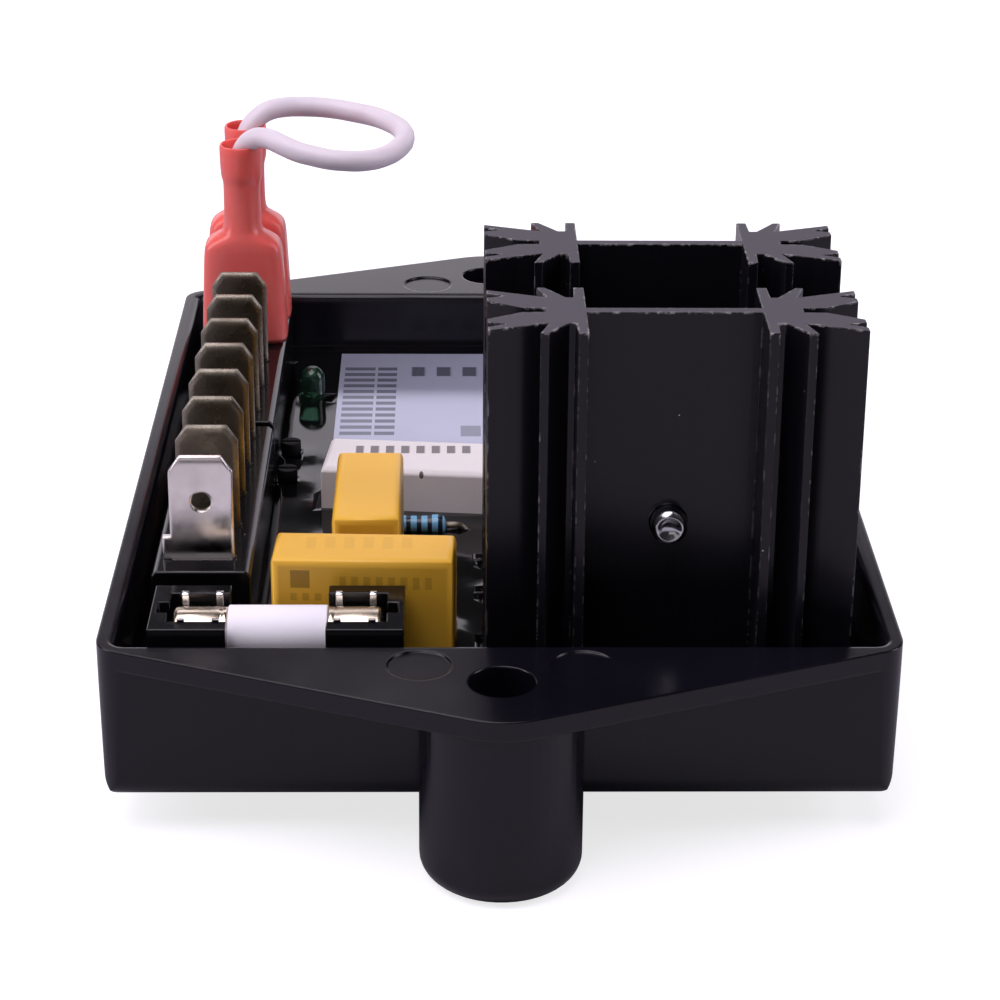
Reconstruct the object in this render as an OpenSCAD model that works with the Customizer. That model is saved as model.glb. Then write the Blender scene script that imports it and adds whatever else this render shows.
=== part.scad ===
// Potted voltage regulator for a small generator.
// A moulded tray with a screw lug at each end holds a circuit board under casting resin. Two finned heat
// sinks, a row of blade terminals with a jumper loop, a cartridge fuse and the larger parts stand out of it.
// X runs across the tray, Y along it and Z up from the feet of the two bosses. Sizes are in millimetres.

/* [Tray] */
// Height of the rim above the feet of the bosses
rim_height = 19.7; // [17:0.1:26]
// Depth of the tray from its rim to its underside
tray_depth = 16; // [14:0.1:18]
// Thickness of the tray's walls and floor
tray_wall = 1.8; // [1.2:0.1:2.4]
// Draft of the tray's sides, in degrees
tray_draft = 1.2; // [0.2:0.1:2]
// Radius of the tray's upright corners
corner_r = 2.8; // [2.5:0.1:5]
// Radius of the tray's bottom edge
bottom_r = 2.4; // [1:0.1:4]
// Radius of the rim's inner edge
rim_r = 0.9; // [0.2:0.1:1]
// Depth of the resin's surface below the rim
resin_drop = 7; // [6:0.1:8]

/* [Lugs] */
// Distance of each screw hole from the end of the tray
lug_reach = 6; // [5:0.1:10]
// Diameter of the screw holes
hole_d = 6.2; // [4:0.1:8]
// Radius of the lug's rounded tip
lug_r = 8; // [7.8:0.1:12]
// Thickness of the lugs
lug_t = 2; // [1.5:0.1:4]
// Diameter of the bosses under the lugs
boss_d = 15.3; // [12:0.1:15.6]
// Radius of the boss's bottom edge
boss_edge_r = 2.2; // [0.5:0.1:3]
// Diameter of the ejector marks on the lugs
mark_d = 6; // [3:0.1:6.5]
// Depth of the ejector marks
mark_depth = 0.2; // [0.1:0.05:0.5]

/* [Circuit board] */
// Thickness of the board
board_t = 1.6; // [1:0.1:2.4]
// Gap between the board's edge and the tray wall
board_gap = 1; // [0.8:0.1:1.6]
// Height of the pads that carry the board
board_stand = 1.3; // [0.8:0.1:2]
// Diameter of the pads that carry the board
pad_d = 5; // [3:0.1:8]

/* [Heat sinks] */
// Width of a heat sink
sink_w = 34.9; // [32:0.1:40]
// Depth of a heat sink over its fins
sink_d = 12.7; // [11.5:0.1:14]
// Height of a heat sink
sink_h = 38.1; // [32:0.1:50.8]
// Thickness of the sink's web
sink_web = 1.3; // [1:0.1:2]
// Thickness of the sink's cross bars
sink_bar = 1; // [0.8:0.1:1.5]
// Clear width between the cross bars
sink_channel = 16.4; // [15:0.1:18]
// Depth of the grooves between the fins
groove_depth = 2.75; // [2.4:0.05:3]
// Distance from one heat sink to the next
sink_pitch = 20.2; // [19:0.1:26]
// Height of the sink's lower end above the board
sink_stand = 3; // [2:0.1:4]
// Gap between the front sink and the tray's front wall
sink_front_gap = 3.25; // [2:0.05:6]
// Gap between the sinks and the tray's side wall
sink_side_gap = 2.65; // [1:0.05:6]
// Gap between the sinks and the front capacitor
sink_part_gap = 2.85; // [1.5:0.05:6]
// Diameter of the sink's solder pins
pin_d = 1.6; // [1:0.1:2]
// Length of a solder pin inside the sink
pin_grip = 4; // [2:0.1:8]

/* [Power devices] */
// Width of a power device
device_w = 10; // [9:0.1:11]
// Height of a device's metal tab
device_h = 15.5; // [15:0.1:17]
// Height of a device's moulded body
device_body_h = 9.2; // [8.5:0.1:9.3]
// Thickness of a device over its body
device_d = 4.5; // [4:0.1:5]
// Thickness of a device's metal tab
device_tab_t = 1.3; // [1:0.1:1.5]
// Distance between the device's leads
lead_pitch = 2.54; // [2.2:0.02:2.8]
// Height of the fixing screws above the sink's lower end
screw_rise = 16.9; // [16:0.1:22]
// Distance of the fixing hole from the top of the device
screw_drop = 2.8; // [2.5:0.1:3]
// Diameter of the fixing screws
screw_d = 3.5; // [3:0.1:3.5]
// Length of screw that stands out of the sink
screw_end = 2; // [1:0.1:4]
// Diameter of the screw heads
screw_head_d = 6.4; // [5.5:0.1:6.6]
// Height of the screw heads
screw_head_h = 2.2; // [1.5:0.1:2.6]
// Thickness of the spring washers
washer_t = 0.6; // [0.3:0.1:1]
// Diameter of the spring washers
washer_d = 6.8; // [6:0.1:7]
// Thickness of the insulating pads
pad_t = 0.2; // [0.1:0.05:0.4]

/* [Terminals] */
// Width of a terminal blade
tab_w = 6.3; // [4.8:0.1:6.6]
// Thickness of a terminal blade
tab_t = 0.8; // [0.5:0.1:1]
// Height of a blade above its base
tab_h = 11; // [9:0.1:13]
// Distance from one blade to the next
tab_pitch = 8; // [7.4:0.05:10]
// Diameter of the hole in a blade
tab_hole_d = 2; // [1.4:0.1:2.4]
// Distance of the hole from a blade's tip
tab_hole_drop = 4.85; // [4:0.05:6]
// Width of the chamfer at a blade's tip
tip_chamfer_w = 1.1; // [0.5:0.1:1.6]
// Height of the chamfer at a blade's tip
tip_chamfer_h = 1.7; // [0.8:0.1:2.2]
// Height of the lead-in bevel at a blade's tip
lead_in_h = 1; // [0.5:0.1:1.5]
// Depth of the lead-in bevel on each face
lead_in_d = 0.2; // [0.1:0.05:0.2]
// Height of the shoulder at a blade's foot
shoulder_h = 2.4; // [1:0.1:3]
// Width of the shoulder at a blade's foot
shoulder_w = 0.8; // [0.4:0.1:1]
// Length of blade held in the base
tab_grip = 5; // [3:0.1:7]
// Width of a blade's solder leg
leg_w = 1.5; // [1:0.1:2]
// Width of a terminal base
block_w = 9.9; // [9:0.1:12]
// Height of a terminal base above the board
block_h = 11.8; // [10.5:0.1:14]
// Distance from an end blade to the end of its base
block_margin = 3.4; // [2.5:0.1:3.6]
// Bevel along the top edges of a terminal base
block_bevel = 0.5; // [0.2:0.1:0.8]
// Gap between the terminal bases and the tray's side wall
strip_side_gap = 1.9; // [1:0.05:5]
// Gap between the terminal bases and the fuse holder
strip_front_gap = 4.1; // [1:0.05:8]
// Gap between the terminal bases and the tray's rear wall
strip_rear_gap = 5.6; // [2:0.05:10]

/* [Receptacles] */
// Width of a receptacle's sleeve at its mouth
sleeve_w = 10.3; // [10:0.1:12]
// Width of a sleeve at its shoulder
sleeve_top_w = 9.2; // [9:0.1:10]
// Depth of a sleeve
sleeve_d = 5.8; // [5.6:0.1:6.4]
// Height of a sleeve's body above the blade's tip
sleeve_over = 0.7; // [0.2:0.1:2]
// Height of a sleeve's sloping shoulder
sleeve_shoulder_h = 2.3; // [1.5:0.1:3]
// Height of a sleeve over all
sleeve_h = 24.2; // [24.2:0.1:26]
// Diameter of a sleeve's barrel
barrel_d = 4.4; // [4.3:0.1:5]
// Diameter of a barrel's flared end
barrel_end_d = 5.1; // [5:0.1:5.8]
// Diameter of the bore in a barrel
barrel_bore_d = 3.4; // [3.2:0.1:3.6]
// Diameter of the bore at a barrel's flared end
barrel_mouth_d = 4.5; // [4.4:0.1:4.6]
// Depth of the pocket in a sleeve
socket_d = 3.8; // [3.6:0.1:4]
// Thickness of a contact's metal
contact_t = 0.4; // [0.3:0.05:0.4]
// Height of a contact's rolled grip
contact_h = 7.6; // [6:0.1:8]
// Length of the neck between a contact's grip and its wire barrel
contact_neck = 2.2; // [1.8:0.1:2.6]
// Diameter of the jumper wire
wire_d = 2.4; // [2:0.1:2.6]

/* [Fuse] */
// Length of the fuse
fuse_l = 20; // [18:0.1:21]
// Diameter of the fuse over its caps
fuse_d = 5.2; // [4.8:0.05:5.4]
// Length of a fuse cap
fuse_cap_l = 5.2; // [4:0.1:6]
// Thickness of a fuse cap
fuse_cap_t = 0.25; // [0.15:0.05:0.4]
// Diameter of the ceramic tube between the caps
fuse_tube_d = 5.5; // [5:0.05:5.8]
// Depth of the fuse's top below the holder's top
fuse_drop = 0.2; // [0:0.05:0.5]
// Depth of the fuse holder
holder_d = 9.9; // [9.4:0.1:12]
// Height of the fuse holder above the board
holder_h = 12.3; // [11.5:0.1:14]
// Thickness of the holder's end walls
holder_end = 1.7; // [1.5:0.1:3]
// Room between the fuse and the holder's end walls
holder_room = 0.4; // [0.2:0.1:1]
// Length of each end of the holder
holder_block_l = 7.4; // [7.2:0.1:8.4]
// Height of the bar between the holder's ends
holder_bar_h = 5; // [4.8:0.1:6]
// Side of the square notch in the holder's end walls
holder_notch = 1.1; // [0.6:0.1:1.3]
// Thickness of a fuse clip
clip_t = 0.4; // [0.3:0.05:0.6]
// Width of a fuse clip
clip_w = 4; // [3:0.1:4.4]
// Width of a clip's prongs
prong_w = 0.7; // [0.5:0.05:1.2]
// Height of the prongs above the holder
prong_rise = 0.2; // [0.1:0.1:1.5]
// Gap between the fuse holder and the tray's front wall
holder_gap = 1; // [0.5:0.05:3]

/* [Board parts] */
// Length of a film capacitor
capacitor_l = 18; // [16:0.1:20]
// Thickness of a film capacitor
capacitor_t = 7; // [6:0.1:8]
// Height of a film capacitor
capacitor_h = 14.5; // [12:0.1:16]
// Radius of a capacitor's edges
capacitor_r = 0.9; // [0.4:0.1:1.5]
// Distance between a capacitor's leads
capacitor_lead_pitch = 15; // [12:0.5:15]
// Gap between the front capacitor and the terminal bases
capacitor_side_gap = 2.2; // [1:0.1:5]
// Gap between the front capacitor and the fuse holder
capacitor_front_gap = 0.9; // [0.6:0.05:3]
// Gap between the two capacitors
capacitor_gap = 3.2; // [1:0.1:5]
// Turn of the front capacitor on the board, in degrees
capacitor_turn = -2.2; // [-3:0.1:3]
// Length of the cement resistor
cement_l = 22; // [20:0.1:24]
// Width of the cement resistor
cement_w = 9; // [8:0.1:10]
// Height of the cement resistor
cement_h = 9.3; // [8:0.1:11]
// Bevel of the cement resistor's edges
cement_bevel = 0.5; // [0.2:0.1:1]
// Gap between the rear capacitor and the cement resistor
cement_gap = 6.8; // [5.5:0.1:9]
// Turn of the cement resistor on the board, in degrees
cement_turn = -5.3; // [-7:0.1:7]
// Length of the film resistor
film_l = 6.3; // [5:0.1:7]
// Diameter of the film resistor
film_d = 2.3; // [1.8:0.1:2.6]
// Gap between the rear capacitor and the film resistor
film_gap = 1.2; // [0.5:0.1:2]
// Diameter of the wire leads
lead_d = 0.7; // [0.5:0.05:0.8]
// Diameter of the status lamp's lens
lamp_d = 3; // [2.5:0.1:5]
// Height of the lens above the resin
lamp_rise = 4.1; // [2:0.1:6]
// Width of the label
label_w = 50; // [30:0.5:52]
// Thickness of the label
label_t = 0.15; // [0.1:0.05:0.3]
// Gap between the label and the tray's rear wall
label_rear_gap = 2.8; // [1:0.1:6]
// Gap between the label and the terminal bases
label_side_gap = 6; // [5.8:0.1:8]
// Gap between the label and the cement resistor
label_front_gap = 4; // [1:0.1:8]
// Least gap between the label and the tray's side wall
label_edge_gap = 4.5; // [1:0.1:8]
// Side of a trimmer's body
trimmer_w = 4.8; // [4.4:0.1:5]
// Diameter of a trimmer's adjuster
trimmer_head_d = 2.3; // [2.2:0.1:2.6]
// Height of a trimmer's adjuster
trimmer_head_h = 1.45; // [1:0.05:2]
// Diameter of a trimmer's spindle
trimmer_spindle_d = 1.4; // [1:0.1:1.5]
// Distance between the two trimmers
trimmer_pitch = 8; // [7:0.1:10]

/* [Clearances] */
// Play of a blade, pin or leg in the piece that holds it
fit = 0.05; // [0.02:0.01:0.1]
// Play of a lead in its hole in the board
hole_play = 0.3; // [0.1:0.05:0.4]
// Running clearance of a trimmer's spindle
spindle_play = 0.05; // [0.02:0.01:0.1]
// Gap between a trimmer's adjuster and what lies below or beside it
adjuster_gap = 0.15; // [0.1:0.01:0.3]
// Play of a contact in its sleeve
socket_play = 0.1; // [0.05:0.01:0.15]

/* [Hidden] */

$fn = 48;
eps = 0.01;
cut_over = 1;
tabs_per_block = 5;
tab_count = 2 * tabs_per_block;

// Colours
black_moulding = "#1b1b1e";
resin_black = "#0c0c0e";
anodised_black = "#222226";
bare_steel = "#b9bbbd";
tinned = "#b8b2a4";
nylon_red = "#c8403a";
wire_white = "#dcd6da";
ceramic_white = "#e9e6e8";
capacitor_yellow = "#d9a52c";
board_green = "#2d5a3a";

// Heights
tray_base_z = rim_height - tray_depth;
floor_z = tray_base_z + tray_wall;
board_z = floor_z + board_stand;
board_top = board_z + board_t;
resin_top = rim_height - resin_drop;
block_top = board_top + block_h;
sink_z = board_top + sink_stand;
screw_z = sink_z + screw_rise;
holder_top = board_top + holder_h;
fuse_z = holder_top - fuse_drop - fuse_d / 2;

// The tray is as large as the parts that stand side by side in it
holder_l = fuse_l + 2 * holder_room + 2 * holder_end;
strip_l = (tab_count - 1) * tab_pitch + 2 * block_margin;
inner_l = holder_gap + holder_d + strip_front_gap + strip_l + strip_rear_gap;
inner_w = strip_side_gap + block_w
    + max(capacitor_side_gap + capacitor_l + sink_part_gap + sink_w + sink_side_gap,
          label_side_gap + label_w + label_edge_gap);
tray_l = inner_l + 2 * tray_wall;
tray_w = inner_w + 2 * tray_wall;
inner_r = max(corner_r - tray_wall, 0.6);
rim_over = 0.2;
hole_y = tray_l / 2 + lug_reach;

// Small offsets of single parts
holder_inset = 1;
cement_inset = 1.9;
lamp_inset = 15;
lamp_sunk = 1.2;
lamp_rim = 0.8;
device_lead_inset = 1.4;
pin_inset = 1.6;
board_pad_inset = 8;
chip_dx = 6;
chip_dy = 18;
diode_dx = 6;
diode_dy = 24;
film_rise = 0.5;
film_inset = 1.8;
trimmer_cover = 0.6;
mark_gap = 4.5;
mark_inset = 3.4;

// Places across the tray
block_x0 = -inner_w / 2 + strip_side_gap;
block_x1 = block_x0 + block_w;
tab_x = block_x0 + block_w / 2;
capacitor_x = block_x1 + capacitor_side_gap + capacitor_l / 2;
sink_x = inner_w / 2 - sink_side_gap - sink_w / 2;
holder_x = block_x0 + holder_inset + holder_l / 2;
label_x0 = block_x1 + label_side_gap;
trimmer_x = block_x1 + adjuster_gap + trimmer_head_d / 2;
lamp_x = block_x1 + label_side_gap / 2;

// Places along the tray
holder_y = -inner_l / 2 + holder_gap + holder_d / 2;
strip_y0 = holder_y + holder_d / 2 + strip_front_gap;
front_capacitor_y = holder_y + holder_d / 2 + capacitor_front_gap + capacitor_t / 2;
rear_capacitor_y = front_capacitor_y + capacitor_t / 2 + capacitor_gap + capacitor_l / 2;
film_y = rear_capacitor_y + capacitor_l / 2 + film_gap + film_d / 2;
cement_y = rear_capacitor_y + capacitor_l / 2 + cement_gap + cement_w / 2;
cement_x = capacitor_x - capacitor_t / 2 - cement_inset + cement_l / 2;
front_sink_y = -inner_l / 2 + sink_front_gap + sink_d / 2;
sink_ys = [front_sink_y, front_sink_y + sink_pitch];
label_y1 = inner_l / 2 - label_rear_gap;
label_y0 = cement_y + cement_w / 2 + label_front_gap + sin(abs(cement_turn)) * cement_l / 2;
trimmer_ys = [cement_y + cement_w / 2, cement_y + cement_w / 2 + trimmer_pitch];
lamp_y = label_y1 - lamp_inset;
function tab_y(i) = strip_y0 + block_margin + i * tab_pitch;
receptacle_tabs = [tab_count - 2, tab_count - 1];

// Pieces that stand under the resin
lead_r = lead_d / 2;
leg_t = tab_t;
device_lead_w = 0.8;
device_lead_t = 0.5;
device_y = sink_web / 2 + pad_t;
device_top = screw_z + screw_drop;
device_z = device_top - device_h;
device_lead_y = device_y + device_tab_t + device_lead_inset;
pin_u = sink_channel / 2 + sink_bar + pin_inset;
film_z = resin_top + film_rise;
film_lead_reach = 2.4;
film_x = capacitor_x + capacitor_t / 2 + film_l / 2 - film_inset;
lamp_z = resin_top - lamp_sunk;
lamp_lead_pitch = 1.6;
cement_lead_pitch = 15;
chip_size = [9.6, 6.4, 3.2];
chip_place = [sink_x - chip_dx, label_y1 - chip_dy];
diode_d = 2.7;
diode_l = 5.2;
diode_pitch = 4.5;
diode_place = [sink_x + diode_dx, label_y1 - diode_dy];
trimmer_body_h = resin_top - board_top - trimmer_cover;
trimmer_pocket = 2;
neck_wall = 0.35;
clip_leg_w = 1.2;

// The jumper's centre line, from the front receptacle to the rear one
wire_route = [
    [-29.6, 32.9, 39.9], [-29.6, 32.9, 41.1], [-29.4, 32.7, 42.75], [-28.75, 32.15, 44.2],
    [-27.8, 31.35, 45.25], [-26.7, 30.4, 45.75], [-25.5, 29.45, 45.75], [-24.1, 28.4, 45.4],
    [-22.3, 27.4, 44.9], [-20.5, 26.8, 44.6], [-18.7, 26.5, 44.3], [-16.9, 26.6, 44.1],
    [-15.1, 27.2, 43.9], [-12.6, 29.2, 43.8], [-10.8, 32.2, 44], [-10.15, 35.4, 44.2],
    [-10.6, 38.4, 44.5], [-12.3, 41, 44.8], [-13.9, 42.3, 45], [-15.9, 43.2, 45.2],
    [-19.3, 44.2, 45.5], [-22.6, 44.15, 45.7], [-24.7, 43.5, 45.8], [-26.4, 42.55, 45.7],
    [-27.6, 41.8, 45.2], [-28.65, 41.1, 44.2], [-29.35, 40.65, 42.75], [-29.6, 40.5, 41.1],
    [-29.6, 40.5, 39.9]];
wire_sides = 8;

// Flat shapes

// Rectangle with round corners, centred
module rounded_rect(w, l, r) {
    square([w - 2 * r, l], center = true);
    square([w, l - 2 * r], center = true);
    for (x = [-1, 1], y = [-1, 1])
        translate([x * (w / 2 - r), y * (l / 2 - r)]) circle(r);
}

// Upright section of a drafted tray with round lower corners, standing on the X axis
module draft_section(top_w, depth, r) {
    half_bottom = top_w / 2 - depth * tan(tray_draft);
    xc = half_bottom + r * tan(tray_draft) - r / cos(tray_draft);
    xt = xc + r * cos(tray_draft);
    yt = r - r * sin(tray_draft);
    polygon([[-xc, 0], [xc, 0], [xt, yt], [top_w / 2, depth], [-top_w / 2, depth], [-xt, yt]]);
    for (side = [-1, 1]) translate([side * xc, r]) circle(r);
}

// Section of a moulded block with round upper corners, standing on the X axis
module round_top_section(w, h, r) {
    translate([-w / 2, 0]) square([w, h - r]);
    translate([-w / 2 + r, 0]) square([w - 2 * r, h]);
    for (side = [-1, 1]) translate([side * (w / 2 - r), h - r]) circle(r);
}

// Point where the outer tangent of two circles touches the first of them
function tangent_point(c1, r1, c2, r2, side) =
    let (d = c2 - c1, a = atan2(d[1], d[0]) + side * acos((r1 - r2) / norm(d)))
    c1 + r1 * [cos(a), sin(a)];

// Tray and lugs

// Drafted block with round upright corners and a round bottom edge
module drafted_block(w, l, depth, r_edge, r_corner) {
    intersection() {
        rotate([90, 0, 0]) linear_extrude(l + 2 * cut_over, center = true) draft_section(w, depth, r_edge);
        rotate([90, 0, 90]) linear_extrude(w + 2 * cut_over, center = true) draft_section(l, depth, r_edge);
        linear_extrude(depth) rounded_rect(w, l, r_corner);
    }
}

module tray_cavity() {
    translate([0, 0, floor_z])
        drafted_block(inner_w, inner_l, tray_depth - tray_wall, max(bottom_r - tray_wall, 0.4), inner_r);
}

// Outline of the lug at the front end, tangent to the tray's corners
module lug_outline() {
    tip = [0, -hole_y];
    corner = [tray_w / 2 - corner_r, -tray_l / 2 + corner_r];
    at_corner = tangent_point(corner, corner_r, tip, lug_r, 1);
    at_tip = tangent_point(tip, lug_r, corner, corner_r, -1);
    inside_y = -tray_l / 2 + tray_wall / 2;
    translate(tip) circle(lug_r);
    polygon([at_corner, at_tip, [-at_tip[0], at_tip[1]], [-at_corner[0], at_corner[1]],
             [-at_corner[0], inside_y], [at_corner[0], inside_y]]);
}

// Round boss under a lug, with a rounded foot
module boss() {
    r = boss_d / 2;
    rotate_extrude() {
        square([r - boss_edge_r, boss_edge_r]);
        translate([0, boss_edge_r]) square([r, rim_height - lug_t - boss_edge_r + eps]);
        intersection() {
            translate([r - boss_edge_r, boss_edge_r]) circle(boss_edge_r);
            square([r, rim_height]);
        }
    }
}

module board_pads() {
    for (x = [-1, 0, 1], y = [-1, 1])
        translate([x * (inner_w / 2 - board_pad_inset), y * (inner_l / 2 - board_pad_inset), floor_z - eps])
            cylinder(d = pad_d, h = board_stand + eps);
}

// What is cut off the rim's inner edge to round it, with the edge's centre at the origin
module rim_section() {
    difference() {
        square([rim_r + rim_over, rim_r + rim_over]);
        circle(rim_r);
    }
}

// Straight piece of the cut, the wall's face at y = 0
module rim_cut(length) {
    translate([-length / 2, -rim_r, rim_height - rim_r]) rotate([90, 0, 90]) linear_extrude(length)
        rim_section();
}

// Cut round one corner of the tray, in the quarter of +X and +Y
module rim_corner_cut() {
    translate([inner_w / 2 - inner_r, inner_l / 2 - inner_r, 0]) rotate_extrude(angle = 90)
        translate([inner_r + rim_r, rim_height - rim_r]) mirror([1, 0]) rim_section();
}

module case() {
    color(black_moulding) difference() {
        union() {
            difference() {
                translate([0, 0, tray_base_z])
                    drafted_block(tray_w, tray_l, tray_depth, bottom_r, corner_r);
                tray_cavity();
                translate([-inner_w / 2, -inner_l / 2, rim_height - eps])
                    cube([inner_w, inner_l, 1]);
            }
            board_pads();
            for (end = [0, 1]) mirror([0, end, 0]) {
                translate([0, 0, rim_height - lug_t]) linear_extrude(lug_t) difference() {
                    lug_outline();
                    square([inner_w, inner_l], center = true);
                }
                difference() {
                    translate([0, -hole_y, 0]) boss();
                    translate([-tray_w / 2, -inner_l / 2, 0]) cube([tray_w, inner_l, rim_height]);
                }
            }
        }
        for (end = [0, 1]) {
            mirror([0, end, 0]) translate([0, -inner_l / 2, 0]) rim_cut(inner_w - 2 * inner_r);
            mirror([end, 0, 0]) translate([inner_w / 2, 0, 0]) rotate(90) rim_cut(inner_l - 2 * inner_r);
            for (side = [0, 1]) mirror([0, end, 0]) mirror([side, 0, 0]) rim_corner_cut();
        }
        for (end = [-1, 1]) {
            translate([0, end * hole_y, -1]) cylinder(d = hole_d, h = rim_height + 2);
            for (side = [-1, 1])
                translate([side * (hole_d / 2 + mark_gap), end * (hole_y - mark_inset),
                           rim_height - mark_depth])
                    cylinder(d = mark_d, h = 1);
        }
    }
}

// Resin and board

module board_blank() {
    size = [inner_w - 2 * board_gap, inner_l - 2 * board_gap];
    translate([-size[0] / 2, -size[1] / 2, board_z]) cube([size[0], size[1], board_t]);
}

// Holes for a lead of diameter d at each of the places
module board_holes(places, d) {
    for (p = places)
        translate([p[0], p[1], board_z - 1]) cylinder(d = d + hole_play, h = board_t + 2);
}

device_lead_places = [for (y = sink_ys, i = [-1, 0, 1]) [sink_x + i * lead_pitch, y + device_lead_y]];
pin_places = [for (y = sink_ys, side = [-1, 1]) [sink_x + side * pin_u, y]];
leg_places = [for (i = [0 : tab_count - 1]) [tab_x, tab_y(i)]];
clip_places = [for (side = [-1, 1]) [holder_x + side * (fuse_l - fuse_cap_l) / 2, holder_y]];
capacitor_lead_places = concat(
    [for (side = [-1, 1]) [capacitor_x, front_capacitor_y]
        + side * capacitor_lead_pitch / 2 * [cos(capacitor_turn), sin(capacitor_turn)]],
    [for (side = [-1, 1]) [capacitor_x, rear_capacitor_y + side * capacitor_lead_pitch / 2]]);
cement_lead_places = [for (side = [-1, 1]) [cement_x, cement_y]
    + side * cement_lead_pitch / 2 * [cos(cement_turn), sin(cement_turn)]];
film_lead_places = [for (side = [-1, 1]) [film_x + side * (film_l / 2 + film_lead_reach), film_y]];
lamp_lead_places = [for (side = [-1, 1]) [lamp_x + side * lamp_lead_pitch / 2, lamp_y]];

module circuit_board() {
    color(board_green) difference() {
        board_blank();
        board_holes(device_lead_places, norm([device_lead_w, device_lead_t]));
        board_holes(pin_places, pin_d);
        board_holes(leg_places, norm([leg_w, leg_t]));
        board_holes(clip_places, norm([clip_leg_w, clip_t]));
        board_holes(capacitor_lead_places, lead_d);
        board_holes(cement_lead_places, lead_d);
        board_holes(film_lead_places, lead_d);
        board_holes(lamp_lead_places, lead_d);
    }
}

// Resin fills the tray up to its surface, round every piece that stands in it
module potting() {
    color(resin_black) difference() {
        intersection() {
            tray_cavity();
            translate([-tray_w / 2, -tray_l / 2, 0]) cube([tray_w, tray_l, resin_top]);
        }
        board_pads();
        board_blank();
        for (i = [0, 1]) {
            block_envelope(i);
            trimmer_at(i) trimmer_envelope();
        }
        for (y = sink_ys) translate([sink_x, y, 0]) {
            sink_body();
            sink_pins();
            device_leads();
        }
        translate([holder_x - holder_l / 2, holder_y - holder_d / 2, board_top])
            cube([holder_l, holder_d, holder_h]);
        front_capacitor_place() capacitor_body();
        rear_capacitor_place() capacitor_body();
        cement_place() cement_body();
        film_place() film_body();
        film_lead_wires();
        lamp_lens();
        lamp_wires();
        chip_body();
        diode_bodies();
    }
}

// Heat sinks and power devices

// Edge of one quarter of the extrusion's section, from the web's middle out to the end groove
sink_u_bar = sink_channel / 2;
sink_u_core = sink_u_bar + sink_bar;
sink_u_end = sink_w / 2;
sink_v_out = sink_d / 2;
sink_v_core = sink_v_out - groove_depth;
fin_t = 0.8;
fin_reach = 2.7;
fin_lean = 0.9;
fin_valley = 0.7;
fin_edge = 0.1;
prong_drop = 0.7;
prong_t = 1;
end_notch_w = 1.2;
end_notch_depth = 1.5;
end_notch_drop = 1.75;
slot_end = 2.8;
slot_flare = 5;
slot_half = 0.5;
fin_tip_u = sink_u_core + fin_reach;
end_v = sink_v_out - prong_drop;
sink_quarter = [
    [sink_u_bar, sink_web / 2], [sink_u_bar, sink_v_out], [sink_u_core, sink_v_out],
    [sink_u_core + fin_edge, sink_v_core], [sink_u_core + fin_edge + fin_valley, sink_v_core],
    [fin_tip_u, sink_v_out], [fin_tip_u + fin_t, sink_v_out],
    [fin_tip_u + fin_t - fin_lean, sink_v_core], [sink_u_end, end_v], [sink_u_end, end_v - prong_t],
    [sink_u_end - end_notch_depth, end_v - end_notch_drop],
    [sink_u_end, end_v - prong_t - end_notch_w], [sink_u_end, end_v - 2 * prong_t - end_notch_w],
    [sink_u_core + slot_flare, slot_half + fin_edge], [sink_u_core + slot_end, slot_half]];
function reversed(list) = [for (i = [len(list) - 1 : -1 : 0]) list[i]];
function mirrored(list, x, y) = [for (p = list) [x * p[0], y * p[1]]];

module sink_body() {
    translate([0, 0, sink_z]) linear_extrude(sink_h) polygon(concat(
        sink_quarter, reversed(mirrored(sink_quarter, 1, -1)),
        mirrored(sink_quarter, -1, -1), reversed(mirrored(sink_quarter, -1, 1))));
}

module sink_pins() {
    for (side = [-1, 1])
        translate([side * pin_u, 0, board_z]) cylinder(d = pin_d, h = sink_z + pin_grip - board_z);
}

// Heat sink with its screw hole and pin sockets, standing on the board at y = 0
module heat_sink() {
    difference() {
        sink_body();
        translate([0, 0, screw_z]) rotate([90, 0, 0])
            cylinder(d = screw_d + 2 * fit, h = sink_d, center = true);
        for (side = [-1, 1])
            translate([side * pin_u, 0, sink_z - 1]) cylinder(d = pin_d + 2 * fit, h = pin_grip + 1 + fit);
    }
}

module heat_sink_front() { color(anodised_black) translate([sink_x, sink_ys[0], 0]) heat_sink(); }
module heat_sink_rear() { color(anodised_black) translate([sink_x, sink_ys[1], 0]) heat_sink(); }

module heat_sink_pins() {
    color(bare_steel) for (y = sink_ys) translate([sink_x, y, 0]) sink_pins();
}

// Plate with a screw hole, standing behind the web: its near face at y, top at the device's top
module device_plate(y, t, overlap) {
    difference() {
        translate([-device_w / 2 - overlap, y, device_z - overlap])
            cube([device_w + 2 * overlap, t, device_h + 2 * overlap]);
        translate([0, y - 1, screw_z]) rotate([-90, 0, 0]) cylinder(d = screw_d + 0.3, h = t + 2);
    }
}

module thermal_pad() { device_plate(sink_web / 2, pad_t, 0.8); }

module device_leads() {
    for (i = [-1, 0, 1])
        translate([i * lead_pitch - device_lead_w / 2, device_lead_y - device_lead_t / 2, board_z])
            cube([device_lead_w, device_lead_t, device_z - board_z]);
}

module device_frame() {
    device_plate(device_y, device_tab_t, 0);
    device_leads();
}

// Moulded body in front of the metal tab, with sloped upper and lower edges
module device_body() {
    d = device_d - device_tab_t;
    slope = 0.4;
    translate([-device_w / 2, device_y + device_tab_t, device_z]) rotate([90, 0, 90])
        linear_extrude(device_w)
            polygon([[0, 0], [d - slope, 0], [d, slope], [d, device_body_h - slope],
                     [d - slope, device_body_h], [0, device_body_h]]);
}

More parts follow.
